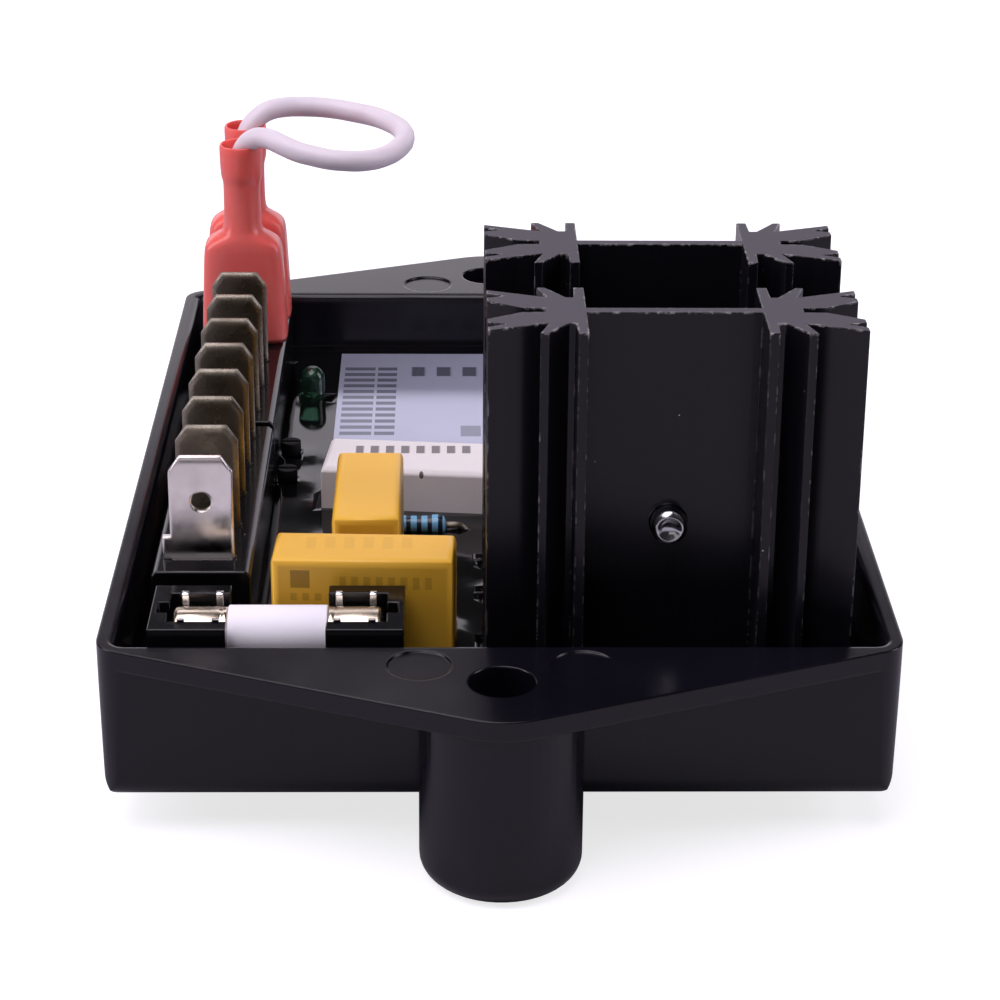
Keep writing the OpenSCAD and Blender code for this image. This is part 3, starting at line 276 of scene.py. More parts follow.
@dataclass(frozen=True)
class Finish:
    """A finish with a name and a colour; each kind makes the patterns of its own material."""

    name: str
    colour: str

    def build(self) -> Material:
        """Make the material once.

        Returns:
            The material.
        """
        material = bpy.data.materials.get(self.name)
        if material is None:
            material = bpy.data.materials.new(self.name)
            material.use_nodes = True
            tree = material.node_tree
            feed(tree, tree.nodes["Principled BSDF"], self.sockets(tree))
        return material

    def sockets(self, tree: Tree) -> Inputs:
        """Make the finish's patterns in its tree and return the principled shader's inputs."""
        raise NotImplementedError


@dataclass(frozen=True)
class MouldedPlastic(Finish):
    """Injection-moulded thermoplastic: an even satin skin with a fine grain and a little dust."""

    lighter: str
    cloud_mm: float = 14.0
    roughness: float = 0.42
    roughness_spread: float = 0.06
    specular: float = 0.3
    # A real moulded grain is finer than a pixel, so it is drawn as coarse as it needs to show
    grain_mm: float = 0.35
    grain_depth_mm: float = 0.006
    dust: str = "#55555c"
    dust_spacing_mm: float = 6.0
    dust_mm: float = 0.09
    edge_mm: float = 0.0
    marks: tuple[Mark, ...] = ()

    def sockets(self, tree: Tree) -> Inputs:
        """Even colour with soft clouds, a fine moulded grain, sparse dust and, if asked, rounded edges.

        Args:
            tree: The material's node tree.

        Returns:
            The principled shader's inputs.
        """
        base, cloud = mottle(tree, self.cloud_mm, self.colour, self.lighter)
        for mark in self.marks:
            base = mark.lay(tree, base)
        dust = specks(tree, self.dust_spacing_mm, self.dust_mm)
        colour = put(tree, "Mix", {0: dust, 6: base, 7: linear(self.dust)}, data_type="RGBA")
        place = put(tree, "TexCoord").outputs["Object"]
        grain = put(tree, "TexNoise", {"Vector": place, "Scale": per_mm(self.grain_mm), "Detail": 3.0})
        gloss = put(tree, "MapRange", {
            "Value": cloud, "To Min": self.roughness - self.roughness_spread,
            "To Max": self.roughness + self.roughness_spread})
        edge = None
        if self.edge_mm:
            edge = put(tree, "Bevel", {"Radius": self.edge_mm * MM}, samples=8).outputs["Normal"]
        relief = put(tree, "Bump", {
            "Height": grain.outputs["Fac"], "Distance": self.grain_depth_mm * MM, "Normal": edge})
        return {"Base Color": colour.outputs[2], "Roughness": gloss.outputs["Result"],
                "Normal": relief.outputs["Normal"], "Specular IOR Level": self.specular}


@dataclass(frozen=True)
class CastResin(Finish):
    """Poured epoxy: a black mirror with long soft waves and a few pinholes."""

    lighter: str
    roughness: float = 0.07
    ior: float = 1.5
    wave_mm: float = 9.0
    wave_depth_mm: float = 0.015
    pit_spacing_mm: float = 4.0
    pit_mm: float = 0.12
    pit_depth_mm: float = 0.05

    def sockets(self, tree: Tree) -> Inputs:
        """Near-black gloss with slow waves and tiny pits.

        Args:
            tree: The material's node tree.

        Returns:
            The principled shader's inputs.
        """
        base, wave = mottle(tree, self.wave_mm, self.colour, self.lighter)
        pit = specks(tree, self.pit_spacing_mm, self.pit_mm)
        low = put(tree, "Math", {0: 1.0, 1: pit}, operation="SUBTRACT")
        pits = put(tree, "Bump", {"Height": low.outputs["Value"], "Distance": self.pit_depth_mm * MM})
        waves = put(tree, "Bump", {
            "Height": wave, "Distance": self.wave_depth_mm * MM, "Normal": pits.outputs["Normal"]})
        return {"Base Color": base, "Normal": waves.outputs["Normal"], "Roughness": self.roughness,
                "IOR": self.ior}


@dataclass(frozen=True)
class AnodisedExtrusion(Finish):
    """Black anodised aluminium: die lines along the length, greyer sawn ends, bright nicks on the edges, and
    pale burrs on the upper edges whose colour is partly a painted glint.
    """

    lighter: str
    sawn: str = "#3c3942"
    bare: str = "#b4b4b6"
    # Colour of the burrs: real worn metal, painted pale as a glint
    burr_and_glint: str = "#e4e0de"
    sawn_z_mm: float = 49.5
    roughness: float = 0.25
    sawn_roughness: float = 0.5
    specular: float = 0.34
    # Real die and saw lines are finer than a pixel, so both are drawn as coarse as they need to show
    die_line_mm: float = 0.5
    die_line_stretch: Point = (1.0, 1.0, 0.004)
    saw_line_mm: float = 0.35
    saw_line_stretch: Point = (0.03, 1.0, 1.0)
    line_depth_mm: float = 0.012
    rub: Wear = Wear(0.3, 1.6, 0.48)
    burr_and_glint_rub: Wear = Wear(0.4, 0.9, 0.5)
    # Burrs, with their painted glint, fade out between these two depths below the sawn face
    burr_and_glint_drop_mm: tuple[float, float] = (0.7, 0.2)
    nick_spacing_mm: float = 4.0
    nick_mm: float = 0.1

    def sockets(self, tree: Tree) -> Inputs:
        """Dye-black skin with lengthwise lines, and sawn ends picked out as the level faces.

        Args:
            tree: The material's node tree.

        Returns:
            The principled shader's inputs.
        """
        skin, die = mottle(tree, self.die_line_mm, self.colour, self.lighter, self.die_line_stretch)
        _, saw = mottle(tree, self.saw_line_mm, self.colour, self.colour, self.saw_line_stretch)
        facing = put(tree, "SeparateXYZ", {0: put(tree, "NewGeometry").outputs["True Normal"]})
        tall = put(tree, "Math", {0: facing.outputs["Z"]}, operation="ABSOLUTE")
        ends = put(tree, "MapRange", {
            "Value": tall.outputs["Value"], "From Min": 0.9, "From Max": 0.98}).outputs["Result"]
        dyed = put(tree, "Mix", {0: ends, 6: skin, 7: linear(self.sawn)}, data_type="RGBA")
        # Bare metal where the edges are rubbed and where the skin is nicked
        nick = specks(tree, self.nick_spacing_mm, self.nick_mm)
        rubbed = worn_edges(tree, self.rub)
        bare = put(tree, "Math", {0: rubbed, 1: nick}, operation="MAXIMUM").outputs["Value"]
        nicked = put(tree, "Mix", {0: bare, 6: dyed.outputs[2], 7: linear(self.bare)}, data_type="RGBA")
        # Pale burrs that the saw left along the upper edges; their pale colour is a painted glint on the worn
        # metal
        place = put(tree, "TexCoord").outputs["Object"]
        height = put(tree, "SeparateXYZ", {0: place}).outputs["Z"]
        low, high = ((self.sawn_z_mm - drop) * MM for drop in self.burr_and_glint_drop_mm)
        near = put(tree, "MapRange", {"Value": height, "From Min": low, "From Max": high})
        burrs_and_glints = put(tree, "Math", {0: near.outputs["Result"], 1: worn_edges(tree, self.burr_and_glint_rub)},
                    operation="MULTIPLY")
        colour = put(tree, "Mix", {
            0: burrs_and_glints.outputs["Value"], 6: nicked.outputs[2], 7: linear(self.burr_and_glint)}, data_type="RGBA")
        gloss = put(tree, "MapRange", {
            "Value": ends, "To Min": self.roughness, "To Max": self.sawn_roughness})
        lines = put(tree, "Mix", {0: ends, 2: die, 3: saw}, data_type="FLOAT")
        relief = put(tree, "Bump", {"Height": lines.outputs[0], "Distance": self.line_depth_mm * MM})
        return {"Base Color": colour.outputs[2], "Metallic": bare, "Roughness": gloss.outputs["Result"],
                "Normal": relief.outputs["Normal"], "Specular IOR Level": self.specular}


@dataclass(frozen=True)
class RolledMetal(Finish):
    """Plated sheet or wire: a metal with rolling lines, dull smears and finger marks."""

    darker: str
    roughness: float = 0.26
    dulled: float = 0.12
    polished: float = 0.06
    smear_mm: float = 3.0
    # Real rolling lines are finer than a pixel, so they are drawn as coarse as they need to show
    line_mm: float = 0.3
    line_stretch: Point = (1.0, 1.0, 0.05)
    line_depth_mm: float = 0.006
    edge_mm: float = 0.0
    lean: float = 0.0

    def sockets(self, tree: Tree) -> Inputs:
        """Smeared plating over fine rolling lines, with coined edges and a slight lean if asked.

        Args:
            tree: The material's node tree.

        Returns:
            The principled shader's inputs.
        """
        base, smear = mottle(tree, self.smear_mm, self.darker, self.colour)
        _, line = mottle(tree, self.line_mm, self.colour, self.colour, self.line_stretch)
        gloss = put(tree, "MapRange", {
            "Value": smear, "From Min": 0.3, "From Max": 0.7,
            "To Min": self.roughness + self.dulled, "To Max": self.roughness - self.polished})
        normal = None
        if self.edge_mm:
            normal = put(tree, "Bevel", {"Radius": self.edge_mm * MM}, samples=8).outputs["Normal"]
        if self.lean:
            # A height that falls towards the top turns the normal up, as on a strip bent back a little
            place = put(tree, "TexCoord").outputs["Object"]
            height = put(tree, "SeparateXYZ", {0: place}).outputs["Z"]
            back = put(tree, "Math", {0: height, 1: -self.lean}, operation="MULTIPLY")
            normal = put(tree, "Bump", {
                "Height": back.outputs[0], "Distance": 1.0, "Normal": normal}).outputs["Normal"]
        relief = put(tree, "Bump", {
            "Height": line, "Distance": self.line_depth_mm * MM, "Normal": normal})
        return {"Base Color": base, "Roughness": gloss.outputs["Result"], "Normal": relief.outputs["Normal"],
                "Metallic": 1.0}


@dataclass(frozen=True)
class SoftVinyl(Finish):
    """Plasticised vinyl: light enters a little way, so it glows at thin edges under a soft sheen."""

    deeper: str
    roughness: float
    glow: float
    depth_mm: float
    scatter: Point = (1.0, 0.35, 0.3)
    cloud_mm: float = 3.5
    cloud_depth_mm: float = 0.03

    def sockets(self, tree: Tree) -> Inputs:
        """Cloudy tint with shallow scattering.

        Args:
            tree: The material's node tree.

        Returns:
            The principled shader's inputs.
        """
        base, cloud = mottle(tree, self.cloud_mm, self.deeper, self.colour)
        relief = put(tree, "Bump", {"Height": cloud, "Distance": self.cloud_depth_mm * MM})
        return {"Base Color": base, "Normal": relief.outputs["Normal"], "Roughness": self.roughness,
                "Subsurface Weight": self.glow, "Subsurface Radius": self.scatter,
                "Subsurface Scale": self.depth_mm * MM}


@dataclass(frozen=True)
class FiredCeramic(Finish):
    """Unglazed fired ceramic: matt and chalky, with a fine grit and a few dark pores."""

    darker: str
    cloud_mm: float = 5.0
    roughness: float = 0.62
    # Real grit is finer than a pixel, so it is drawn as coarse as it needs to show
    grit_mm: float = 0.5
    grit_depth_mm: float = 0.02
    pore: str = "#8d8580"
    pore_mm: float = 0.1
    pore_spacing_mm: float = 5.0
    marks: tuple[Mark, ...] = ()

    def sockets(self, tree: Tree) -> Inputs:
        """Chalky white with grit, pores and marks.

        Args:
            tree: The material's node tree.

        Returns:
            The principled shader's inputs.
        """
        base, _ = mottle(tree, self.cloud_mm, self.darker, self.colour)
        for mark in self.marks:
            base = mark.lay(tree, base)
        pore = specks(tree, self.pore_spacing_mm, self.pore_mm)
        colour = put(tree, "Mix", {0: pore, 6: base, 7: linear(self.pore)}, data_type="RGBA")
        place = put(tree, "TexCoord").outputs["Object"]
        grit = put(tree, "TexNoise", {"Vector": place, "Scale": per_mm(self.grit_mm), "Detail": 4.0})
        relief = put(tree, "Bump", {"Height": grit.outputs["Fac"], "Distance": self.grit_depth_mm * MM})
        return {"Base Color": colour.outputs[2], "Normal": relief.outputs["Normal"],
                "Roughness": self.roughness}


@dataclass(frozen=True)
class PrintedFilm(Finish):
    """Silvery polyester label: a satin film with plain rows and bars of grey ink."""

    darker: str
    cloud_mm: float = 12.0
    roughness: float = 0.16
    metallic: float = 0.5
    marks: tuple[Mark, ...] = ()

    def sockets(self, tree: Tree) -> Inputs:
        """Cloudy silver with its print.

        Args:
            tree: The material's node tree.

        Returns:
            The principled shader's inputs.
        """
        base, _ = mottle(tree, self.cloud_mm, self.darker, self.colour)
        for mark in self.marks:
            base = mark.lay(tree, base)
        return {"Base Color": base, "Roughness": self.roughness, "Metallic": self.metallic}


@dataclass(frozen=True)
class TintedLens(Finish):
    """Tinted clear epoxy: it bends light and glows green where light gathers."""

    lighter: str
    cloud_mm: float = 1.5
    roughness: float = 0.06
    transmission: float = 0.93

    def sockets(self, tree: Tree) -> Inputs:
        """Clear tint with faint clouds."""
        base, _ = mottle(tree, self.cloud_mm, self.colour, self.lighter)
        return {"Base Color": base, "Roughness": self.roughness, "Transmission Weight": self.transmission}


@dataclass(frozen=True)
class BandedLacquer(Finish):
    """Dipped lacquer with painted rings: a glossy pale blue coat and dark bands across the length."""

    lighter: str
    band: str = "#16202c"
    cloud_mm: float = 2.0
    roughness: float = 0.25
    centre_mm: float = -8.35
    pitch_mm: float = 1.15
    width_mm: float = 0.5

    def sockets(self, tree: Tree) -> Inputs:
        """Even coat with rings at a fixed pitch along X.

        Args:
            tree: The material's node tree.

        Returns:
            The principled shader's inputs.
        """
        base, _ = mottle(tree, self.cloud_mm, self.colour, self.lighter)
        place = put(tree, "TexCoord").outputs["Object"]
        split = put(tree, "SeparateXYZ", {0: place})
        local = put(tree, "Math", {0: split.outputs["X"], 1: self.centre_mm * MM}, operation="SUBTRACT")
        step = put(tree, "Math", {0: local.outputs[0], 1: self.pitch_mm * MM}, operation="FLOORED_MODULO")
        ring = put(tree, "Math", {0: step.outputs[0], 1: self.width_mm * MM}, operation="LESS_THAN")
        colour = put(tree, "Mix", {0: ring.outputs[0], 6: base, 7: linear(self.band)}, data_type="RGBA")
        return {"Base Color": colour.outputs[2], "Roughness": self.roughness}


# Satin black moulding of the tray: soft top light, dark upright faces
CASE_PLASTIC = MouldedPlastic("moulded_satin_black", "#09080e", "#110f18", roughness=0.2, specular=0.36,
                              grain_depth_mm=0.003, edge_mm=0.35)
# Glossy black moulding of the terminal bases and the fuse holder: sharper reflections and more dust
BASE_PLASTIC = MouldedPlastic("moulded_gloss_black", "#08080a", "#0e0e12", roughness=0.14, specular=0.34,
                              grain_mm=2.0, grain_depth_mm=0.01, dust="#8c8c94", dust_spacing_mm=3.0)
# Matt black moulding of the trimmers: no sheen, so they read as plain dark discs
TRIMMER_PLASTIC = MouldedPlastic("moulded_matt_black", "#060607", "#0a0a0c", roughness=0.6, specular=0.2)
# Filled epoxy of the power devices: matt and grainy
EPOXY = MouldedPlastic("moulded_epoxy", "#101012", "#18181b", roughness=0.6, grain_mm=0.2,
                       grain_depth_mm=0.01)
# Glass-fibre board under the resin: dull green
LAMINATE = MouldedPlastic("glass_laminate", "#2d5a3a", "#37683f", roughness=0.5, dust="#4c7a55")
# Silicone sheet behind the power devices: soft, pale and matt
SILICONE = MouldedPlastic("silicone_sheet", "#b9b4a6", "#c9c4b6", roughness=0.7, dust="#a8a498")
# Moulded capacitor box: warm yellow with a soft gloss and faded fields of ink
CAPACITOR_BOX = MouldedPlastic(
    "moulded_yellow_box", "#e6ae32", "#eeba40", roughness=0.38, specular=0.45, grain_mm=0.8,
    grain_depth_mm=0.012, dust="#9c7420", dust_spacing_mm=5.0, marks=(
        Mark((-19.4, -38.0, 20.8), (0.95, 1.0, 0.95), "#5c4512", 0.6),
        Mark((-10.8, -37.8, 20.5), (4.8, 1.0, 0.65), "#5c4512", 0.3, 1.2),
        Mark((-18.6, -38.0, 18.9), (1.8, 1.0, 0.4), "#5c4512", 0.3, 1.2),
        Mark((-13.3, -33.7, 22.9), (5.7, 1.4, 0.1), "#b98a2c", 0.22, 1.9)))
# Poured black epoxy: a dark mirror that shows what stands in it, broken by waves and pinholes
RESIN = CastResin("cast_epoxy", "#050506", "#0a0a0c")
# Black anodised extrusion: a dull sheen with upright lines, grey sawn ends and pale burrs whose colour is
# partly a painted glint
ANODISED = AnodisedExtrusion("anodised_aluminium", "#0c0b10", "#16151b")
# Tinned brass blades: warm grey, smeared and a little dull, with paler coined edges
TINNED = RolledMetal("tin_plated_brass", "#aea697", "#5c5448", edge_mm=0.9)
# The foremost blade: smoother than the rest, so all but its foot mirrors the pale floor; its near-white
# colours, far lighter than the other blades', are a painted reflection
TINNED_WITH_PAINTED_REFLECTION = RolledMetal("tinned_brass_painted_reflection", "#fffaf6", "#e8ded8", roughness=0.14, smear_mm=4.0,
                            edge_mm=0.4, line_depth_mm=0.002, lean=0.09)
# Zinc-plated steel of screws and clips: bright and cool
PLATED = RolledMetal("zinc_plated_steel", "#d6d6d8", "#a9a9ad", roughness=0.16, smear_mm=2.0)
# Nickel-plated fuse caps: bright with a creamy tint
NICKEL = RolledMetal("nickel_plate", "#e4d8c6", "#b8aa96", roughness=0.2, line_stretch=(0.05, 1.0, 1.0))
# Red vinyl of the receptacle sleeves: translucent, so it glows at its rims
RED_VINYL = SoftVinyl("translucent_red_vinyl", "#ff746c", "#f8605a", roughness=0.26, glow=0.6, depth_mm=1.4)
# White vinyl of the wire: faintly pink, with a soft sheen
WHITE_VINYL = SoftVinyl("white_vinyl", "#e4dbe3", "#d6ccd6", roughness=0.42, glow=0.25, depth_mm=0.8)
# Ceramic tube of the fuse: cool white and smooth
FUSE_CERAMIC = FiredCeramic("fired_ceramic", "#fbf8ff", "#f4f0fa", grit_mm=0.4, grit_depth_mm=0.006,
                            pore_spacing_mm=9.0)
# Cement-filled ceramic trough: warm white and grainy, with strokes of ink and one chip
CEMENT = FiredCeramic("fired_cement_ceramic", "#e2ddde", "#d4cecd", marks=(
    Mark((-8.5, 3.2, 17.7), (6.8, 1.1, 0.2), "#4a4246", 0.8, 1.7),
    Mark((-7.9, -3.6, 17.2), (0.32, 1.2, 0.6), "#2c201a", 0.9, oval=True)))
# Silvery label film: two columns of fine rows at its left, a broken bold bar and a small square
LABEL_FILM = PrintedFilm("printed_film", "#c4c8de", "#b2b6cc", marks=(
    Mark((-15.9, 30.6, 12.8), (1.9, 12.0, 1.0), "#5a5f70", row_mm=1.95),
    Mark((-12.5, 30.6, 12.8), (1.2, 12.0, 1.0), "#4e5364", row_mm=1.95),
    Mark((0.9, 40.6, 12.8), (10.5, 1.6, 1.0), "#3c4050", stroke_mm=3.2),
    Mark((-2.3, 20.8, 12.8), (1.2, 1.7, 1.0), "#6a6f80", 0.7)))
# Green epoxy of the lamp: dark and clear, with a bright spot under its dome
LENS = TintedLens("tinted_lens", "#58987a", "#6aa888")
# Blue lacquer of the small resistor: glossy, with dark rings
LACQUER = BandedLacquer("banded_lacquer", "#5c9cc8", "#7db8dc")


def object_of(name: str, shape: Shape, material: Material,
              smooth_deg: float = 40.0) -> Piece:
    """Make a piece of a bmesh, at the origin and smooth but for its sharp edges.

    Args:
        name: Name of the piece.
        shape: Its shape, in metres in the row frame; it is freed.
        material: Its material.
        smooth_deg: Angle above which an edge stays sharp.

    Returns:
        The new object.
    """
    mesh = bpy.data.meshes.new(name)
    shape.to_mesh(mesh)
    shape.free()
    mesh.materials.append(material)
    mesh.shade_smooth()
    mesh.set_sharp_from_angle(angle=math.radians(smooth_deg))
    piece = bpy.data.objects.new(name, mesh)
    bpy.context.scene.collection.objects.link(piece)
    return piece


def stand_for(piece: Piece, node: str, body: Body = Body.ROOT) -> None:
    """Let a piece ride on a body in place of a CAD node.

    Args:
        piece: The piece.
        node: CAD node that it stands for.
        body: Body that it rides on.
    """
    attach(piece, body.value)
    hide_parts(node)
    LOG.info("%s stands for %s", piece.name, node)


def dress(material: Material, *nodes: str) -> None:
    """Give CAD nodes a material.

    Args:
        material: The material.
        *nodes: Names of the nodes.
    """
    for name in nodes:
        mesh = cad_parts[name].data
        mesh.materials.clear()
        mesh.materials.append(material)
        LOG.info("%s dressed in %s", name, material.name)


def merged(node: str, weld_mm: float = 0.002, flat_deg: float = 0.3) -> Shape:
    """Copy a CAD node's mesh with its doubles merged and its triangles joined into flat faces.

    Args:
        node: Name of the node.
        weld_mm: Distance under which two vertices become one.
        flat_deg: Angle under which two triangles become one face.

    Returns:
        The copied shape.
    """
    shape = bmesh.new()
    shape.from_mesh(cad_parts[node].data)
    bmesh.ops.remove_doubles(shape, verts=shape.verts, dist=weld_mm * MM)
    bmesh.ops.dissolve_limit(shape, angle_limit=math.radians(flat_deg), verts=shape.verts,
                             edges=shape.edges)
    return shape


def even_normals(piece: Piece) -> None:
    """Let the large faces set the shading, so that rounded edges stay narrow."""
    weigh = piece.modifiers.new("even_normals", "WEIGHTED_NORMAL")
    weigh.keep_sharp = True


def rounded(name: str, node: str, width_mm: float, material: Material, body: Body = Body.ROOT,
            segments: int = 2, sharp_deg: float = 40.0) -> None:
    """Make a piece of a CAD node's mesh with its sharp edges rounded.

    Args:
        name: Name of the piece.
        node: CAD node that it stands for.
        width_mm: Width of the rounding.
        material: Its material.
        body: Body that it rides on.
        segments: Facets across the rounding.
        sharp_deg: Angle above which an edge is rounded.
    """
    shape = merged(node)
    limit = math.radians(sharp_deg)
    edges = [e for e in shape.edges if e.is_manifold and e.calc_face_angle(0.0) > limit]
    bmesh.ops.bevel(shape, geom=edges, offset=width_mm * MM, offset_type="OFFSET", segments=segments,
                    profile=0.5, affect="EDGES", clamp_overlap=False, material=-1)
    piece = object_of(name, shape, material)
    even_normals(piece)
    stand_for(piece, node, body)


def turned(profile_mm: list[tuple[float, float]], origin_mm: Point, axis: Axis, steps: int = 48) -> Shape:
    """Shape turned about an axis.

    Args:
        profile_mm: Radius and place along the axis of each point, from one end to the other.
        origin_mm: Point on the axis from which places are counted.
        axis: Direction of the axis.
        steps: Facets round the axis.

    Returns:
        The closed shape.
    """
    shape = bmesh.new()
    along = Vector(axis.value)
    out = Vector(Axis.X.value if axis is Axis.Z else Axis.Z.value)
    origin = Vector(origin_mm)
    verts = [shape.verts.new((origin + along * h + out * r) * MM) for r, h in profile_mm]
    edges = [shape.edges.new(pair) for pair in zip(verts, verts[1:])]
    bmesh.ops.spin(shape, geom=[*verts, *edges], cent=origin * MM, axis=along, angle=2 * math.pi,
                   steps=steps, use_merge=True)
    bmesh.ops.remove_doubles(shape, verts=shape.verts, dist=WELD_MM * MM)
    bmesh.ops.recalc_face_normals(shape, faces=shape.faces)
    return shape


@dataclass
class Studio:
    """Camera, floor and lamps."""

    camera_mm: Point = (-4.9, -284.4, 135.7)
    pitch_deg: float = 23.34
    yaw_deg: float = 1.15
    roll_deg: float = 0.49
    lens_mm: float = 100.3
    sensor_mm: float = 36.0
    floor_mm: float = 4000.0
    floor_colour: str = "#bab8c0"
    floor_glow: float = 0.74
    lamp_tint: str = "#fbf4ff"
    aim_mm: Point = (0.0, 0.0, 20.0)
    world_strength: float = 0.03

    def build(self) -> None:
        """Set up the view, the stage and the light."""
        scene = bpy.context.scene
        scene.view_settings.view_transform = "Standard"
        self.aim()
        self.lay_floor()
        self.light()

    def aim(self) -> None:
        """Place the camera where the photograph was taken from."""
        data = bpy.data.cameras.new("camera")
        data.lens = self.lens_mm
        data.sensor_width = self.sensor_mm
        data.clip_start = 10 * MM
        camera = bpy.data.objects.new("camera", data)
        pitch, yaw, roll = (math.radians(a) for a in (self.pitch_deg, self.yaw_deg, self.roll_deg))
        ahead = Vector((math.sin(yaw) * math.cos(pitch), math.cos(yaw) * math.cos(pitch), -math.sin(pitch)))
        level = Vector((math.cos(yaw), -math.sin(yaw), 0.0))
        over = level.cross(ahead)
        right = math.cos(roll) * level + math.sin(roll) * over
        up = -math.sin(roll) * level + math.cos(roll) * over
        turn = Matrix((right, up, -ahead)).transposed().to_4x4()
        camera.matrix_world = Matrix.Translation(Vector(self.camera_mm) * MM) @ turn
        bpy.context.scene.collection.objects.link(camera)
        bpy.context.scene.camera = camera

    def lay_floor(self) -> None:
        """Lay a pale floor whose own light keeps it near white round a soft shadow."""
        shape = bmesh.new()
        bmesh.ops.create_grid(shape, x_segments=1, y_segments=1, size=0.5 * self.floor_mm * MM)
        material = bpy.data.materials.new("pale_floor")
        material.use_nodes = True
        tree = material.node_tree
        rays = put(tree, "LightPath")
        seen = put(tree, "Math", {
            0: rays.outputs["Is Camera Ray"], 1: rays.outputs["Is Transmission Ray"]}, operation="MAXIMUM")
        glow = put(tree, "Math", {0: seen.outputs[0], 1: self.floor_glow}, operation="MULTIPLY")
        feed(tree, tree.nodes["Principled BSDF"], {
            "Base Color": linear(self.floor_colour), "Roughness": 0.9, "Specular IOR Level": 0.0,
            "Emission Color": linear("#ffffff"), "Emission Strength": glow.outputs[0]})
        object_of("floor", shape, material)

    def lamp(self, name: str, place_mm: Point, size_mm: tuple[float, float], watts: float,
             aim_mm: Point | None = None) -> None:
        """Hang a soft box that faces the object.

        Args:
            name: Name of the lamp.
            place_mm: Where it hangs.
            size_mm: Its width and height.
            watts: Its power.
            aim_mm: The point that it faces, if not the object's middle.
        """
        data = bpy.data.lights.new(name, "AREA")
        data.shape = "RECTANGLE"
        data.size, data.size_y = (v * MM for v in size_mm)
        data.energy = watts
        data.color = linear(self.lamp_tint)[:3]
        lamp = bpy.data.objects.new(name, data)
        lamp.location = Vector(place_mm) * MM
        facing = Vector(aim_mm or self.aim_mm) - Vector(place_mm)
        lamp.rotation_euler = facing.to_track_quat("-Z", "Y").to_euler()
        bpy.context.scene.collection.objects.link(lamp)

    def light(self) -> None:
        """Light the object from soft boxes above, behind and at its sides, and from two white cards."""
        self.lamp("top_box", (-150.0, -130.0, 690.0), (600.0, 600.0), 4.5)
        self.lamp("front_card", (-250.0, -680.0, 230.0), (700.0, 300.0), 0.3)
        self.lamp("rear_box", (-60.0, 520.0, 520.0), (500.0, 250.0), 0.65)
        self.lamp("left_box", (-620.0, -100.0, 330.0), (300.0, 600.0), 2.2)
        self.lamp("right_box", (620.0, -60.0, 300.0), (300.0, 600.0), 2.0)
        self.lamp("rear_card", (0.0, 750.0, 165.0), (1900.0, 330.0), 2.3, (0.0, 0.0, 165.0))
        world = bpy.context.scene.world or bpy.data.worlds.new("world")
        bpy.context.scene.world = world
        world.use_nodes = True
        tree = world.node_tree
        tree.nodes.clear()
        back = put(tree, "Background", {"Color": linear("#ffffff"), "Strength": self.world_strength})
        put(tree, "OutputWorld", {"Surface": back.outputs["Background"]})


